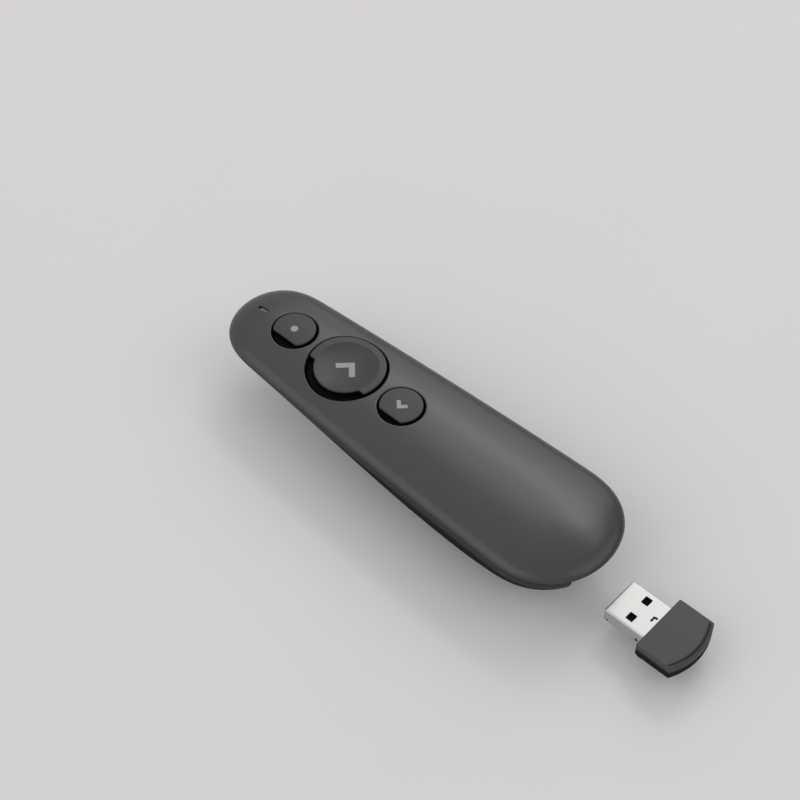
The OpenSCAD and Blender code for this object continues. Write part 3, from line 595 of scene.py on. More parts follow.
def chevron(x, s, reach_x, leg, w):
    """Corners of an arrowhead with its tip at x, s, pointing along the sign of reach_x."""
    tip, up, down = np.array([x, s]), np.array([-reach_x, leg]), np.array([-reach_x, -leg])
    def side(v):
        return np.array([-v[1], v[0]]) / np.linalg.norm(v) * w / 2 * copysign(1, reach_x)
    def meet(a, b):
        return a + np.linalg.solve(np.stack([up, -down], 1), b - a)[0] * up
    nu, nd = side(up), side(down)
    points = [meet(tip - nu, tip + nd), tip + up - nu, tip + up + nu, meet(tip + nu, tip - nd),
              tip + down - nd, tip + down + nd]
    return points[::int(copysign(1, reach_x))]


# ---- Battery door ----


def door_height(x, s):
    """Outer face of the door, with the grip grooves near its tail edge."""
    z = belly_height(x, s)
    for k in (1, 2, 3):
        mid = DOOR_S0 + GRIP_T * (2 * k + 0.5)
        across = step_down(np.abs(x) - GRIP_W / 2, 0.06)
        along = step_down(np.abs(s - mid) - GRIP_T / 2, 0.05)
        z = z + NOTCH_H * across * along
    return z


def battery_door():
    edge = rounded(DOOR_W, DOOR_S0, DOOR_S1, DOOR_R, 0, 0.3)
    xs = np.concatenate([np.linspace(-5, -4, 9), np.linspace(-3.7, 3.7, 20), np.linspace(4, 5, 9)])
    ss = np.linspace(DOOR_S0 + GRIP_T, DOOR_S0 + 8.2 * GRIP_T, 56)
    grip = np.array([(x, s) for s in ss for x in xs])
    shell = plate(edge, belly_lining, door_height, 0.12, 0.18, 1.0, [grip])
    tab_x = DOOR_W / 2 - DOOR_R - 0.8
    tab_z = RIM_Z - 0.64 * float(belly_depth(np.array(DOOR_S1)))
    for side in (-1, 1):
        for end, foot in ((-0.05, -2.6), (2.4, 0.0)):
            tab = outline(corners(side * tab_x, 1.6, DOOR_S1 - 2.2, DOOR_S1 + end), 0.15, 0.1)
            shell.merge(plate(tab, tab_z + 1.2, tab_z + foot, 0.1, 0.1, 2.0))
    def saddle(x, s):
        r = CELL_D / 2 + FIT_GAP
        return np.minimum(CELL_Z - CELL_D / 4, CELL_Z - np.sqrt(np.maximum(r * r - np.asarray(x) ** 2, 0)))
    for k in (1, 2):
        s = CELL_S + CELL_L * k / 4
        shell.merge(plate(outline(corners(0, 9.0, s, s + 1.2), 0.2, 0.1), saddle,
                          lambda x, s: belly_lining(x, s) - 0.5, 0.1, 0.05, 0.5))
    return make("door_panel", shell)


# ---- Receiver ----


def receiver_outline(inset=0.0, count=0):
    hw, front, r, chamfer = RCV_W / 2 - inset, RCV_FRONT - inset, RCV_END_R - inset, 0.3
    turn = asin(hw / r)
    path = arc_points(0, RCV_CENTRE, r, -pi / 2 - turn, -pi / 2 + turn)
    path += [(hw, front - chamfer), (hw - chamfer, front), (-hw + chamfer, front), (-hw, front - chamfer)]
    return outline(path, soften=0.18, count=count)


def receiver_top(x, s):
    """Top of the handle, with the groove that follows its round end and the slope past it."""
    out = np.hypot(x, s - RCV_CENTRE)
    rear = step_down(s - (RCV_FRONT - RCV_L + 2), 0.3) * step_down(np.abs(x) - (RCV_W / 2 - 0.7), 0.12)
    past = np.clip(out - GROOVE_R - GROOVE_W / 2, 0, 1) * (s < RCV_CENTRE - 10)
    groove = step_down(np.abs(out - GROOVE_R) - GROOVE_W / 2, 0.04)
    return RCV_Z - GROOVE_H * rear * groove - 0.45 * past ** 2 * rear


def receiver_cap():
    lines = [np.array(arc_points(0, RCV_CENTRE, GROOVE_R + d, -pi / 2 - 0.56, -pi / 2 + 0.56, 0.3))
             for d in (-0.55, -0.4, -0.33, -0.27, -0.2, 0.0, 0.2, 0.27, 0.33, 0.4, 0.55)]
    cap = mould("receiver_grip_top", receiver_outline(), receiver_top, RCV_Z - RCV_TOP_H, 0.32, 0.3,
                0.7, lines)
    return cut(cap, *receiver_cuts())


def receiver_cuts():
    """Room for the plug's root and the snap notches on both sides."""
    far_s, near_s = RCV_FRONT - DETENT_S - DETENT_L, RCV_FRONT - DETENT_S
    return [bar(PLUG_W, RCV_FRONT - PLUG_ROOT, RCV_FRONT + 5, 0.3, PLUG_Z - SEAT_GAP,
                PLUG_Z + PLUG_H + SEAT_GAP, SEAT_GAP, 1.0)] + [
        prism(np.array(corners(x, 2 * (DETENT_H + 0.35), far_s, near_s)), RCV_FOOT - 1,
              RCV_Z - RCV_TOP_H + DETENT_H) for x in (-RCV_W / 2, RCV_W / 2)]


def receiver_base():
    """Lower half of the handle. Its wall draws in towards the foot, less so at the front."""
    levels = [(0.3, RCV_FOOT + RCV_BASE_H), (0.35, RCV_FOOT + RCV_BASE_H - 0.1)]
    levels += [(RCV_TAPER * t ** 1.5 + 0.1, RCV_FOOT + (RCV_BASE_H - 0.2) * (1 - t))
               for t in (0.3, 0.5, 0.75, 0.93)]
    levels += [(RCV_TAPER + 0.05, RCV_FOOT + 0.05), (RCV_TAPER + 0.3, RCV_FOOT)]
    wall = receiver_outline(levels[0][0], 440)[0]
    drawn = 0.35 + 0.65 * np.clip((RCV_FRONT - wall[:, 1:]) / 9, 0, 1)
    loops = [wall + drawn * (receiver_outline(inset, 440)[0] - wall) for inset, z in levels]
    shell = Shell()
    shell.bands([shell.add(loop, z) for loop, (inset, z) in zip(loops, levels)])
    for loop, z, turn in ((loops[0], levels[0][1], 1), (loops[-1], RCV_FOOT, -1)):
        plan, tris, _ = fill(loop, (), 2.0)
        shell.tris(tris[:, ::turn], shell.add(plan, z))
    return cut(make("receiver_grip_base", shell, 1e-6), *receiver_cuts())


def section(w, h, r):
    """Rounded cross section of the plug, about its middle."""
    points = []
    for t, arc in corner_arcs(w, -h / 2, h / 2, r, 6):
        first, last = (0.1 * np.array([-sin(a), cos(a)]) for a in t[[0, -1]])
        points += [arc[0] - first, *arc, arc[-1] + last]
    return np.array(points)


def plug_sleeve():
    """Folded sheet sleeve, drawn in at its open end, with latch windows and the fold's slit."""
    s0, s1, hollow = RCV_FRONT - PLUG_ROOT, PLUG_TIP, 2 * PLUG_SHEET
    mid, top = PLUG_Z + PLUG_H / 2, PLUG_Z + PLUG_H
    latch, slit = s1 - 6.45, RCV_FRONT + 1.4
    shell = Shell()
    rings = []
    for s, less, r in ((s0, 0, 0.45), (s1 - 0.6, 0, 0.45), (s1 - 0.5, 0.02, 0.45), (s1 - 0.1, 0.16, 0.45),
                       (s1 - 0.03, 0.24, 0.45), (s1, 0.42, 0.5), (s1, 0.62, 0.4),
                       (s1 - 0.05, hollow + 0.3, 0.3), (s1 - 0.95, hollow, 0.3), (s0, hollow, 0.3)):
        q = section(PLUG_W - less, PLUG_H - less, r)
        rings.append(shell.add(np.stack([q[:, 0], np.full(len(q), s)], -1), mid + q[:, 1]))
    shell.bands(rings + rings[:1])
    plug = make("plug_sleeve", shell, sharp=30)
    tools = []
    for side in (-1, 1):
        tools.append(bar(2.45, latch - 1.075, latch + 1.075, 0.12, 0, 30, 0, 0.3, side * 3.2))
        for mark_s, z, half in ((s1 - 1.2, 6.9, 0.35), (RCV_FRONT + 1.9, 7.5, 0.5)):
            hole = lathe([(0, -1), (half, -1), (half, 1), (0, 1)], 0, 0, 20)
            hole.points = [(side * PLUG_W / 2 + h, mark_s + b, z + a) for a, b, h in hole.points]
            tools.append(make("tool", hole))
    tools.append(bar(1.8, slit - 0.15, slit + 0.5, 0.1, top - 1, top + 1, 0, 0.1))
    tools.append(bar(0.7, slit - 0.8, slit + 0.1, 0.1, top - 1, top + 1, 0, 0.1, 0.7))
    return cut(plug, *tools)


# ---- Inner pieces ----


def battery_cell():
    """Plain AAA can: rolled shoulders, flat foot and the nub at its head end."""
    r, length, nub = CELL_D / 2, CELL_L - 0.9, 1.9
    profile = [(0, 0), (3.6, 0), (3.8, 0.12), (4.0, 0.12), (4.6, 0.05), (r - 0.15, 0.1), (r, 0.3),
               (r, length - 0.35), (r - 0.12, length - 0.1), (r - 0.5, length), (2.9, length),
               (2.7, length - 0.02), (nub + 0.15, length - 0.02), (nub, length + 0.1), (nub, CELL_L - 0.15),
               (nub - 0.15, CELL_L), (0, CELL_L)]
    return make("bare_cell", lathe(profile, CELL_S, CELL_Z, 96, True))


def end_contact(name, s):
    """Stamped end plate, upright across the body, with a pierced corner on each side."""
    low, high = CELL_Z - 4.2, TRAY_TOP - TRAY_T
    holes = [circle(side * 3.2, high - 1.0, 0.45, 24) for side in (-1, 1)]
    shell = plate(rounded(8.4, low, high, 1.1), CONTACT_T, 0, 0.05, 0.05, 1.0, (), holes)
    shell.points = [(x, s + out, z) for x, z, out in shell.points]
    return make(name, shell)


def grid_points(xs, ss, x=0.0, s=0.0):
    return np.array([(x + a, s + b) for a in xs for b in ss])


def tact_switch(name, s):
    """Low dome switch: moulded base under a sheet cover with a round hole and four staked studs."""
    top = BOARD_TOP + SWITCH_H
    hole = circle(0, s, PLUNGER_R + 0.08, 48)
    studs = [(x, s + y) for x in (-2.2, 2.2) for y in (-2.2, 2.2)]
    def cover(x, y):
        z = np.full(np.shape(x), top - 0.1)
        for cx, cs in studs:
            z = z + 0.1 * step_down(np.hypot(x - cx, y - cs) - 0.4, 0.05)
        return z
    rings = sum((circles(*spot, (0.22, 0.34, 0.42, 0.52), 20) for spot in studs), [])
    return (mould(name + "_cover", rounded(6.0, s - 3.0, s + 3.0, 0.4), cover, top - 0.32, 0.06, 0.04,
                  0.7, rings, [hole]),
            mould(name + "_base", rounded(5.7, s - 2.85, s + 2.85, 0.8), top - 0.3, BOARD_TOP,
                  0.05, 0.08, 1.2, (), [hole]))


def plunger(name, s):
    low, high, r = BOARD_TOP + 0.6, PLUNGER_TOP, PLUNGER_R
    profile = [(0, low), (r - 0.2, low), (r, low + 0.2), (r, high - 0.5), (r - 0.12, high - 0.4),
               (r - 0.12, high - 0.2), (r - 0.3, high - 0.04), (r - 0.5, high), (0, high)]
    return make(name, lathe(profile, s, 0, 48))


def radio_package():
    """Chip with a pin-one dimple."""
    s, w, top = CHIP_S, CHIP_W, BOARD_TOP + 0.9
    def lid(x, y):
        return top - 0.07 * step_down(np.hypot(x + 1.75, y - s - w + 0.75) - 0.35, 0.03)
    return mould("radio_package", rounded(w - 0.16, s + 0.08, s + w - 0.08, 0.1), lid, BOARD_TOP,
                 0.05, 0.03, 1.0, circles(-1.75, s + w - 0.75, (0.2, 0.29, 0.35, 0.41), 24))


def clock_crystal():
    """Canned crystal beside the chip, on its rim."""
    cx, cs = -(CHIP_W / 2 + 0.3 + 3.2), CHIP_S + 1.25
    def can(x, y):
        edge = np.maximum(np.abs(x - cx) - 1.15, np.abs(y - cs) - 0.8)
        return BOARD_TOP + 0.5 + 0.38 * step_down(edge, 0.04)
    plan, way = rounded(3.2, CHIP_S, CHIP_S + 2.5, 0.5)
    rows = grid_points(np.linspace(-1.3, 1.3, 27), np.linspace(-0.95, 0.95, 20), cx, cs)
    return mould("clock_crystal", (plan + np.array([cx, 0]), way), can, BOARD_TOP, 0.06, 0.03, 0.6,
                 [rows])


def pipe_height(x, s):
    """Top of the light pipe: a low bar that climbs into the deck's slot."""
    up = 1 - step_down(np.asarray(s) - (SLOT_S - 0.35), 0.05)
    return (PIPE_Z + PIPE_T) * (1 - up) + (deck_height(0 * np.asarray(x), s) - PIPE_DROP) * up


def light_pipe():
    tail, end = LASER_S + 3.1, SLOT_S + SLOT_L - 0.5
    hw = SLOT_W / 2 - 0.05
    path = [(1.0, tail), (1.0, SLOT_S - 1.4), (hw, SLOT_S - 0.6)]
    path += arc_points(0, end - hw, hw, 0, pi, 0.06)
    path += [(-hw, SLOT_S - 0.6), (-1.0, SLOT_S - 1.4), (-1.0, tail)]
    rows = grid_points((-0.3, -0.1, 0.1, 0.3), np.linspace(-0.6, -0.1, 11), 0.0, SLOT_S)
    return mould("light_pipe_bar", outline(path, 0.08, 0.05), pipe_height, PIPE_Z, 0.06, 0.05, 0.4,
                 [rows])


def status_lamp():
    """Small lamp with a raised top."""
    s = MODULE_S - 0.3 - 0.4
    def top(x, y):
        edge = np.maximum(np.abs(x) - 0.5, np.abs(y - s) - 0.33)
        return BOARD_TOP + 0.3 + 0.3 * step_down(edge, 0.03)
    rows = grid_points(np.linspace(-0.65, 0.65, 27), np.linspace(-0.34, 0.34, 12), 0.0, s)
    return mould("status_lamp", rounded(1.6, s - 0.4, s + 0.4, 0.08, 0, 0.1), top, BOARD_TOP,
                 0.03, 0.02, 0.4, [rows])


def laser_pieces():
    """Turned barrel, the lens in its mouth and the window in the belly's nose."""
    s0 = MODULE_S + FIT_GAP
    barrel = [(0, 0), (1.1, 0), (1.2, 0.1), (1.2, 0.35), (2.35, 0.35), (2.5, 0.5), (2.5, 1.3),
              (2.3, 1.4), (2.3, 1.8), (2.5, 1.9), (2.5, 5.05), (2.35, 5.2), (2.0, 5.2), (1.86, 5.06),
              (1.86, 4.0), (0, 4.0)]
    lens = [(0, 0), (1.6, 0), (1.8, 0.15), (1.8, 0.6)]
    lens += [(1.75 * cos(t), 0.65 + 0.55 * sin(t)) for t in np.linspace(0.1, pi / 2 - 0.1, 8)]
    pane = [(0, 0), (WINDOW_R - 0.1, 0), (WINDOW_R, 0.1), (WINDOW_R, 0.85)]
    pane += [(WINDOW_R - 0.15 - 1.7 * (1 - cos(t)), 1.0 + 0.2 * sin(t))
             for t in np.linspace(0, pi / 2, 8)]
    return [make(name, lathe(profile, s, LASER_Z, 72, True)) for name, profile, s in (
        ("barrel_turned", barrel, s0), ("focus_lens", lens + [(0, 1.2)], s0 + 4.0),
        ("nose_window", pane + [(0, 1.2)], WINDOW_S))]


def plug_core():
    """Moulded tongue of the plug: bare where the contacts show, raised behind them."""
    bare, root = TONGUE_TIP - 4.3, RCV_FRONT + 2.6
    def top(x, s):
        s = np.asarray(s)
        raised = 0.35 * step_down(s - bare, 0.05)
        drawn = 0.6 * np.clip((s - TONGUE_TIP + 0.9) / 0.9, 0, 1)
        return TONGUE_Z + raised + 1.55 * step_down(s - root, 0.05) - drawn
    xs, steps = np.linspace(-5.3, 5.3, 22), (-0.25, -0.12, -0.04, 0.04, 0.12, 0.25)
    rows = [grid_points(xs, steps, 0.0, s) for s in (bare, root)] + [grid_points(xs, [TONGUE_TIP - 0.9])]
    return mould("tongue_core", rounded(10.9, RCV_FRONT - PLUG_ROOT + 0.3, TONGUE_TIP, 0.3), top,
                 PLUG_Z + PLUG_SHEET, 0.08, 0.05, 1.0, rows)


# ---- Node trees ----


class Nodes:
    """Short ways to add to a node tree."""

    def __init__(self, tree):
        self.tree = tree

    def node(self, kind, *ins, **values):
        """Adds a node. Its first inputs take ins; values are properties, or inputs by name."""
        n = self.tree.nodes.new(kind)
        for key, value in values.items():
            if hasattr(n, key):
                setattr(n, key, value)
            else:
                self.feed(n.inputs[key.replace("_", " ")], value)
        for socket, value in zip(n.inputs, ins):
            self.feed(socket, value)
        return n

    def feed(self, socket, value):
        if isinstance(value, bpy.types.NodeSocket):
            self.tree.links.new(value, socket)
        else:
            socket.default_value = value

    def axis(self, vector, name):
        return self.node("ShaderNodeSeparateXYZ", vector).outputs[name]

    def math(self, operation, *values):
        return self.node("ShaderNodeMath", *values, operation=operation).outputs[0]

    def spread(self, value, *limits, **how):
        """Maps value from the range of the first two limits to that of the next two."""
        return self.node("ShaderNodeMapRange", value, *limits, **how).outputs["Result"]


class Tree(Nodes):
    """A geometry node tree with named inputs that grows a piece."""

    def __init__(self, name, finish, **inputs):
        super().__init__(bpy.data.node_groups.new(name, "GeometryNodeTree"))
        add, self.sockets = self.tree.interface.new_socket, {}
        for way in ("INPUT", "OUTPUT"):
            add(name="Geometry", in_out=way, socket_type="NodeSocketGeometry")
        kinds = {float: "Float", bpy.types.Object: "Object", bpy.types.Material: "Material"}
        for label, value in {**inputs, "Finish": finishes[finish]}.items():
            socket = add(name=label.replace("_", " "), in_out="INPUT",
                         socket_type="NodeSocket" + kinds[type(value)])
            self.sockets[socket.identifier] = value
        self.source = self.node("NodeGroupInput").outputs

    def __getitem__(self, label):
        return self.source[label]

    def grow(self, name, geometry, spots=(), pattern=None):
        """Ends the tree, runs it on the given spots and returns the plain mesh."""
        real = self.node("GeometryNodeRealizeInstances", geometry).outputs[0]
        done = self.node("GeometryNodeSetMaterial", real, Material=self["Finish"]).outputs[0]
        self.node("NodeGroupOutput", done)
        host = bpy.data.meshes.new(name)
        host.from_pydata(metres(spots), [], [])
        obj = add_object(name, host)
        modifier = obj.modifiers.new("grow", "NODES")
        modifier.node_group = self.tree
        for identifier, value in self.sockets.items():
            modifier[identifier] = value
        mesh = evaluated(obj)
        for used in filter(None, (obj, pattern)):
            bpy.data.objects.remove(used)
        clean(mesh)
        mesh.name = name
        return add_object(name, mesh)

    def place(self, scale):
        """Puts the pattern on every spot."""
        points = self.node("GeometryNodeMeshToPoints", self["Geometry"])
        shape = self.node("GeometryNodeObjectInfo", self["Pattern"])
        return self.node("GeometryNodeInstanceOnPoints", points.outputs[0], Scale=scale,
                         Instance=shape.outputs["Geometry"]).outputs[0]


def repeated(tree_name, name, finish, pattern, spots):
    """Piece made of a pattern on every spot."""
    t = Tree(tree_name, finish, Pattern=pattern, Size=1.0)
    return t.grow(name, t.place(t["Size"]), spots, pattern)


def battery_coil():
    """Conical spring with closed end turns, wound along the cell."""
    t = Tree("battery_coil", "spring_steel", Turns=4.0, Foot_Radius=3.6 * MM, Tip_Radius=2.2 * MM,
             Rise=(SPRING_L - 2 * SPRING_WIRE) * MM, Wire_Radius=SPRING_WIRE * MM, Closing=0.35)
    spiral = t.node("GeometryNodeCurveSpiral", Resolution=40, Rotations=t["Turns"],
                    Start_Radius=t["Foot Radius"], End_Radius=t["Tip Radius"], Height=0.0)
    along = t.node("GeometryNodeSplineParameter").outputs["Factor"]
    eased = t.spread(along, interpolation_type="SMOOTHSTEP")
    blend = t.node("ShaderNodeMix", data_type="FLOAT", Factor=t["Closing"], A=along, B=eased)
    lift = t.node("ShaderNodeCombineXYZ", Z=t.math("MULTIPLY", blend.outputs[0], t["Rise"]))
    coil = t.node("GeometryNodeSetPosition", spiral.outputs[0], Offset=lift.outputs[0])
    wire = t.node("GeometryNodeCurvePrimitiveCircle", Resolution=10, Radius=t["Wire Radius"])
    body = t.node("GeometryNodeCurveToMesh", coil.outputs[0], wire.outputs[0], Fill_Caps=True)
    turned = t.node("GeometryNodeTransform", body.outputs[0], Rotation=(-pi / 2, 0, 0),
                    Translation=(0, (CELL_S - SPRING_L + SPRING_WIRE - REST_S) * MM, CELL_Z * MM))
    return t.grow("battery_coil", turned.outputs[0])


def board_screw():
    """Pan head under the board with a cross recess, and a ridged shank; its seat is at the origin."""
    profile = [(0, -1.1), (1.1, -1.1), (1.45, -0.98), (1.65, -0.7), (1.7, -0.35), (1.7, -0.05), (1.65, 0),
               (0.8, 0), (0.8, 1.1)]
    for k in range(7):
        profile += [(0.8, 1.2 + 0.42 * k), (0.66, 1.3 + 0.42 * k), (0.66, 1.4 + 0.42 * k)]
    profile += [(0.6, 4.2), (0.3, 4.4), (0, 4.4)]
    screw = make("screw_pattern", lathe(profile, REST_S, 0, 40))
    return cut(screw, *(bar(w, REST_S - h / 2, REST_S + h / 2, 0.12, -2, -0.55, 0, 0.2)
                        for w, h in ((2.0, 0.5), (0.5, 2.0))))


def board_screws():
    spots = [(side * x, s, TRAY_TOP) for x, s in ((10.4, 50.0), (8.6, LASER_S - 8)) for side in (-1, 1)]
    return repeated("board_screws", "board_screw_set", "screw_steel", board_screw(), spots)


def plug_leaves():
    """The four contacts of the plug; the outer two reach further out."""
    s0 = RCV_FRONT - PLUG_ROOT / 2
    inner, outer = TONGUE_TIP - 2 - s0, TONGUE_TIP - 1 - s0
    leaf = mould("leaf_pattern", rounded(1.2, REST_S, REST_S + inner, 0.35), 0.2, 0, 0.05, 0.03, 1.0)
    t = Tree("plug_leaves", "contact_gold", Pattern=leaf, Inner_Reach=2 * MM, Outer_Stretch=outer / inner)
    x = t.axis(t.node("GeometryNodeInputPosition").outputs[0], "X")
    beyond = t.math("GREATER_THAN", t.math("ABSOLUTE", x), t["Inner Reach"])
    scale = t.node("ShaderNodeCombineXYZ", 1.0, t.spread(beyond, 0.0, 1.0, 1.0, t["Outer Stretch"]), 1.0)
    spots = [(x, s0, TONGUE_Z) for x in (-PLUG_W * 0.29, -PLUG_W / 12, PLUG_W / 12, PLUG_W * 0.29)]
    return t.grow("plug_leaf_set", t.place(scale.outputs[0]), spots, leaf)


def chip_pads():
    """Soldered pads along the four sides of the radio chip."""
    pad = mould("pad_pattern", rounded(0.3, REST_S - 0.15, REST_S + 0.15, 0.05, 0, 0.1), 0.2, 0, 0.03,
                0.02, 0.3)
    at = np.linspace(-1.75, 1.75, 8)
    edge, mid = CHIP_W / 2 - 0.15, CHIP_S + CHIP_W / 2
    spots = [(x, mid + side * edge, BOARD_TOP) for side in (-1, 1) for x in at]
    spots += [(side * edge, mid + x, BOARD_TOP) for side in (-1, 1) for x in at]
    return repeated("chip_pads", "chip_pad_set", "switch_steel", pad, spots)


# ---- Materials ----

GLOSS_TINT = (1.0, 0.95, 1.0, 1.0)
finishes = {}


class Finish(Nodes):
    """A node material with short ways to add what the finishes here share."""

    def __init__(self, name, colour, rough, metal=0.0, **more):
        finishes[name] = mat = bpy.data.materials.new(name)
        mat.use_nodes = True
        super().__init__(mat.node_tree)
        self.colour, self.place = colour, self.node("ShaderNodeTexCoord").outputs["Object"]
        self.set(Base_Color=(*colour, 1), Roughness=rough, Metallic=metal, **more)

    def set(self, **values):
        """Sets or feeds the shader's own sockets."""
        for key, value in values.items():
            self.feed(self.tree.nodes["Principled BSDF"].inputs[key.replace("_", " ")], value)

    def noise(self, size_mm, detail, where=None):
        return self.node("ShaderNodeTexNoise", where or self.place, Scale=1 / (size_mm * MM),
                         Detail=detail).outputs["Fac"]

    def ramp(self, fac, stops, interpolation="LINEAR"):
        n = self.node("ShaderNodeValToRGB", fac)
        e = n.color_ramp.elements
        n.color_ramp.interpolation = interpolation
        while len(e) < len(stops):
            e.new(0.5)
        for k, (at, c) in enumerate(stops):
            e[k].position = at
            e[k].color = (*c, 1) if hasattr(c, "__len__") else (c, c, c, 1)
        return n.outputs["Color"]

    def vary(self, fac, low, high, darkest, lightest):
        """Colour that wanders a little round the finish's own."""
        self.set(Base_Color=self.ramp(fac, [(at, tuple(c * share for c in self.colour))
                                            for at, share in ((low, darkest), (high, lightest))]))

    def rough(self, fac, low, high):
        self.set(Roughness=self.spread(fac, 0.0, 1.0, low, high))

    def bump(self, fac, depth_mm):
        n = self.node("ShaderNodeBump", Strength=1.0, Distance=depth_mm * MM, Height=fac)
        self.set(Normal=n.outputs["Normal"])


def plastic(name, colour, rough, grain=0.18, depth=0.006, specular=0.45, painted_wall_shade=None):
    """Matt moulded plastic with a fine spark-eroded grain. The last argument, (z, specular, shade, soft),
    makes the walls below height z duller, and darker in colour as painted shade."""
    f = Finish(name, colour, rough, Specular_IOR_Level=specular, Specular_Tint=GLOSS_TINT)
    if painted_wall_shade:
        # Painted shade: below the edge height the walls get a darker colour, and duller specular and
        # roughness.
        edge, dull, shadow, soft = painted_wall_shade
        z = f.axis(f.place, "Z")
        f.set(Specular_IOR_Level=f.spread(z, (edge - soft) * MM, (edge + soft) * MM, dull, specular))
        clear = f.spread(z, (edge - 1 - soft) * MM, edge * MM)
        worn = f.spread(f.noise(3.0, 3), 0.3, 0.7, 0.95)
        # The colour falls to the shadow share on the walls below the edge, as painted shade; worn adds
        # faint random tone.
        f.vary(f.math("MULTIPLY", clear, worn), 0.0, 1.0, shadow, 1.0)
        f.rough(clear, 0.85, rough)
    else:
        f.vary(f.noise(6.0, 4), 0.3, 0.7, 0.97, 1.03)
        f.rough(f.noise(1.5, 2), rough - 0.04, rough + 0.04)
    f.bump(f.noise(grain, 2), depth)


def bright_sheet(name, colour, rough, across=(1, 40, 1)):
    """Plated sheet with faint drawing lines."""
    f = Finish(name, colour, rough, 1.0)
    lines = f.noise(0.4, 2, f.node("ShaderNodeMapping", f.place, Scale=across).outputs["Vector"])
    f.vary(lines, 0.2, 0.8, 0.95, 1.03)
    f.rough(lines, rough - 0.04, rough + 0.08)
    f.bump(lines, 0.0015)


def circuit_board():
    """Green solder resist over copper tracks."""
    resist, track = (0.012, 0.085, 0.035), (0.03, 0.16, 0.06)
    f = Finish("board_green", resist, 0.32, Coat_Weight=0.35)
    cells = f.node("ShaderNodeTexVoronoi", f.place, feature="DISTANCE_TO_EDGE", Scale=1 / (2.6 * MM))
    tracks = f.ramp(cells.outputs["Distance"], [(0.06, 1.0), (0.10, 0.0)])
    f.set(Base_Color=f.ramp(tracks, [(0.2, resist), (0.8, track)]))
    f.bump(tracks, 0.02)


def cell_wrap():
    """Bare can ends and a plain dark wrap with a lighter band between them."""
    f = Finish("cell_can", (0.5, 0.5, 0.5), 0.3, 1.0)
    along = f.spread(f.axis(f.place, "Y"), (CELL_S - REST_S) * MM, (CELL_S + CELL_L - REST_S) * MM)
    bare, dark, band = ((0.62, 0.62, 0.6), 1.0), ((0.03, 0.032, 0.036), 0.0), ((0.42, 0.43, 0.45), 0.6)
    parts = ((0.0, bare), (0.018, dark), (0.60, dark), (0.605, band), (0.955, band), (0.96, bare))
    for k, socket in enumerate(("Base_Color", "Metallic")):
        f.set(**{socket: f.ramp(along, [(at, look[k]) for at, look in parts], "CONSTANT")})
    f.bump(f.noise(0.5, 2), 0.003)


def clear_moulding(name, colour, rough, through):
    f = Finish(name, colour, rough, Transmission_Weight=through, IOR=1.49)
    f.vary(f.noise(0.8, 2), 0.3, 0.7, 0.95, 1.05)
    f.bump(f.noise(0.4, 2), 0.002)


plastic("deck_plastic", (0.0445, 0.0415, 0.0445), 0.255, depth=0.002)
# The belly's walls below 17.6 mm are painted a little darker as painted shade, and made duller.
plastic("belly_plastic", (0.008, 0.0075, 0.008), 0.5, specular=0.4, painted_wall_shade=(17.6, 0.12, 0.8, 1.6))
plastic("button_plastic", (0.041, 0.038, 0.041), 0.36, depth=0.002, specular=0.34)
plastic("skirt_plastic", (0.0015, 0.0012, 0.0015), 0.7, specular=0.08)
# The receiver's walls below 9.8 mm are painted much darker as painted shade, and made duller.
plastic("receiver_plastic", (0.042, 0.040, 0.042), 0.42, depth=0.004, painted_wall_shade=(9.8, 0.06, 0.3, 0.2))
# Near-black colour for the receiver's base: painted shade, where its lower wall lies in shade.
plastic("receiver_foot", (0.006, 0.0057, 0.006), 0.6, depth=0.004, specular=0.2)
plastic("tongue_plastic", (0.012, 0.012, 0.012), 0.5)
plastic("chip_black", (0.015, 0.015, 0.016), 0.45, 0.3, 0.01)
plastic("plunger_plastic", (0.7, 0.69, 0.64), 0.4)
plastic("print_grey", (0.30, 0.30, 0.305), 0.6, 0.08, 0.002)
bright_sheet("plug_sheet", (0.565, 0.557, 0.547), 0.42)
bright_sheet("spring_steel", (0.6, 0.6, 0.58), 0.28)
bright_sheet("screw_steel", (0.5, 0.5, 0.49), 0.32)
bright_sheet("switch_steel", (0.58, 0.58, 0.57), 0.35)
bright_sheet("contact_gold", (0.83, 0.6, 0.24), 0.25)
bright_sheet("barrel_brass", (0.7, 0.5, 0.22), 0.3, (40, 1, 40))
circuit_board()
cell_wrap()
clear_moulding("pipe_clear", (0.20, 0.195, 0.20), 0.5, 0.1)
clear_moulding("lamp_white", (0.8, 0.8, 0.76), 0.3, 0.2)
clear_moulding("lens_glass", (0.8, 0.86, 0.92), 0.05, 0.9)
clear_moulding("window_smoke", (0.06, 0.008, 0.008), 0.08, 0.5)

# ---- Putting the pieces in place ----


def dress(piece, finish, body, *nodes, slot=None):
    """Gives a piece its finish, the body it rides on and the nodes it stands in for."""
    piece.data.materials.clear()
    piece.data.materials.append(finishes[finish])
    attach(piece, body)
    if nodes:
        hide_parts(*nodes)


dress(deck_shell(), "deck_plastic", "body", "top_shell")
dress(belly_shell(), "belly_plastic", "body", "bottom_shell")
dress(battery_door(), "belly_plastic", "battery_door", "battery_door")
dress(battery_cell(), "cell_can", "body", "battery_cell")

for key, (s, r) in buttons.items():
    if key == "next":
        base, (top, core) = RING_BASE, next_cap()
    else:
        base, edge = CAP_BASE, small_cap(s, LASER_CHORD if key == "laser" else BACK_CHORD)
        top, core = cap_pair(key + "_button", edge, cap_height, base, 0.22)
    dress(top, "button_plastic", key + "_button", key + "_cap")
    dress(core, "skirt_plastic", key + "_button", slot="button_plastic")
    dress(skirt(key + "_button_base", s, r, base), "skirt_plastic", key + "_button", key + "_skirt")

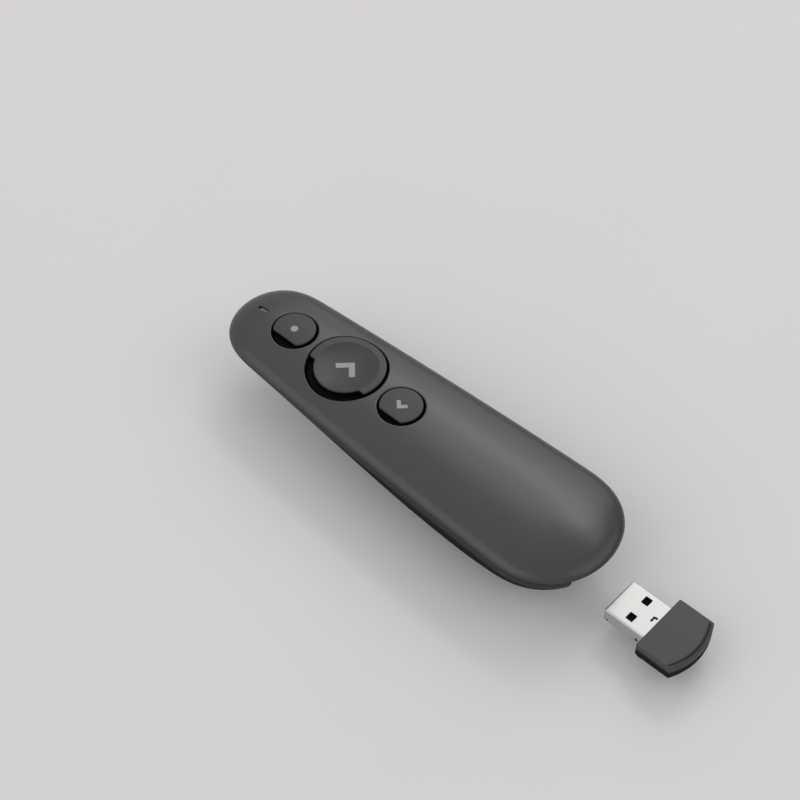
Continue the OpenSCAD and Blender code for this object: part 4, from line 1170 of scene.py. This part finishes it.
for name, points, height, soften in (
        ("laser_dot", circle(0.0, LASER_S + 0.1, 1.05, 48)[0], cap_height, 0.0),
        ("next_arrow", chevron(1.75, NEXT_S - 0.2, 3.1, 3.05, 1.65), dish, 0.05),
        ("back_arrow", chevron(-0.95, BACK_S, -1.65, 1.6, 1.12), cap_height, 0.05)):
    body = name.split("_")[0] + "_button"
    dress(print_on(name, points, height, soften), "print_grey", body, slot="button_plastic")

dress(receiver_cap(), "receiver_plastic", "receiver", "receiver_cap")
# The base wears the near-black painted-shade finish.
dress(receiver_base(), "receiver_foot", "receiver", "receiver_base", slot="receiver_plastic")
dress(plug_sleeve(), "plug_sheet", "receiver", "plug_shell")

tail_contact_s = CELL_S - SPRING_L - CONTACT_T
dress(end_contact("contact_foot", tail_contact_s), "spring_steel", "body", "contact_negative")
dress(end_contact("contact_head", CELL_S + CELL_L), "spring_steel", "body", "contact_positive")
dress(battery_coil(), "spring_steel", "body", "battery_spring")
dress(board_screws(), "screw_steel", "body", "board_screws")
for key, (s, r) in buttons.items():
    lid, base = tact_switch(key + "_tact", s)
    dress(lid, "switch_steel", "body", key + "_switch")
    dress(base, "chip_black", "body", slot="switch_steel")
    dress(plunger(key + "_stem", s), "plunger_plastic", key + "_button", key + "_plunger")
dress(radio_package(), "chip_black", "body", "radio_chip")
dress(clock_crystal(), "switch_steel", "body", slot="chip_black")
dress(chip_pads(), "switch_steel", "body", slot="chip_black")
dress(status_lamp(), "lamp_white", "body", "status_led")
dress(light_pipe(), "pipe_clear", "body", "light_pipe")
for piece, finish, node in zip(laser_pieces(), ("barrel_brass", "lens_glass", "window_smoke"),
                               ("laser_barrel", "laser_lens", "laser_window")):
    dress(piece, finish, "body", node)
dress(plug_core(), "tongue_plastic", "receiver", "plug_tongue")
dress(plug_leaves(), "contact_gold", "receiver", "plug_contacts")

node_slots = {p["node"]: p["material_slot"] for p in frame["record"]["subparts"]}
for name, obj in frame["nodes"].items():
    obj.data.materials.clear()
    obj.data.materials.append(finishes[node_slots[name]])

# ---- Stage ----


def floor():
    f = Finish("floor_pale", (0.70, 0.68, 0.70), 0.9, Specular_IOR_Level=0.0)
    f.vary(f.noise(60, 2), 0.3, 0.7, 0.995, 1.005)
    mesh, half = bpy.data.meshes.new("floor"), 4.0
    mesh.from_pydata([(x, y, 0) for x, y in corners(0, 2 * half, -half, half)], [], [(0, 1, 2, 3)])
    mesh.materials.append(finishes["floor_pale"])
    obj = add_object("floor", mesh)


def panel(name, x0, x1, y0, y1, radiance, height=2.0):
    """Level light over the stage, between the given sides in metres."""
    data = bpy.data.lights.new(name, "AREA")
    data.shape, data.size, data.size_y = "RECTANGLE", x1 - x0, y1 - y0
    data.energy = pi * radiance * (x1 - x0) * (y1 - y0)
    obj = add_object(name, data)
    obj.location = Vector(((x0 + x1) / 2, (y0 + y1) / 2, height))
    obj.rotation_euler = Vector((0, 1e-4, -height)).to_track_quat("-Z", "Y").to_euler()


SKY_DIM, SKY_FULL = 0.18, 0.67                # sky low beyond the tail's right side, and elsewhere
SKY_DIM_WAY = (0.62, -0.62, -0.48)


def studio():
    bpy.context.scene.world = world = bpy.data.worlds.new("studio")
    world.use_nodes = True
    sky, lit = Nodes(world.node_tree), world.node_tree.nodes["Background"].inputs
    way = sky.node("ShaderNodeTexCoord").outputs["Generated"]
    along = sky.node("ShaderNodeVectorMath", way, SKY_DIM_WAY, operation="DOT_PRODUCT").outputs["Value"]
    sky.feed(lit["Color"], (1.0, 1.0, 1.0, 1))
    sky.feed(lit["Strength"], sky.spread(along, -0.3, 0.8, SKY_FULL, SKY_DIM))
    for sides in (("strip_near", 1.15, 1.66, -0.4, 0.3, 1.9), ("strip_bright", 1.24, 1.66, 0.3, 1.35, 4.7),
                  ("strip_far", 1.24, 1.66, 1.35, 1.8, 1.2), ("strip_soft", 1.66, 2.7, 0.2, 1.7, 1.6),
                  ("side_right", 2.7, 6.0, 0.3, 3.0, 0.95), ("side_left", -3.6, -1.0, -0.4, 2.4, 0.85),
                  ("low_left", -10.0, -3.6, 0.0, 6.0, 1.0), ("over_middle", -0.8, 1.1, 0.7, 1.8, 0.22),
                  ("over_tail", -0.2, 3.4, -5.0, -1.0, 0.8)):
        panel(*sides)


CAMERA_AT = (-0.23124, -0.18456, 0.40933)
CAMERA_AZIMUTH, CAMERA_HEIGHT = -47.425, 50.657       # degrees
CAMERA_SENSOR, CAMERA_LENS = 36.0, 1862.5 * 36.0 / 800.0


def camera():
    az, el = radians(CAMERA_AZIMUTH), radians(CAMERA_HEIGHT)
    back = Vector((sin(az) * cos(el), -cos(az) * cos(el), sin(el)))
    right = Vector((cos(az), sin(az), 0))
    data = bpy.data.cameras.new("camera")
    data.sensor_width, data.lens, data.clip_start = CAMERA_SENSOR, CAMERA_LENS, 0.01
    obj = add_object("camera", data)
    obj.matrix_world = (Matrix.Translation(CAMERA_AT)
                        @ Matrix((right, back.cross(right), back)).transposed().to_4x4())
    bpy.context.scene.camera = obj


floor()
studio()
camera()
bpy.context.scene.view_settings.view_transform = "Standard"
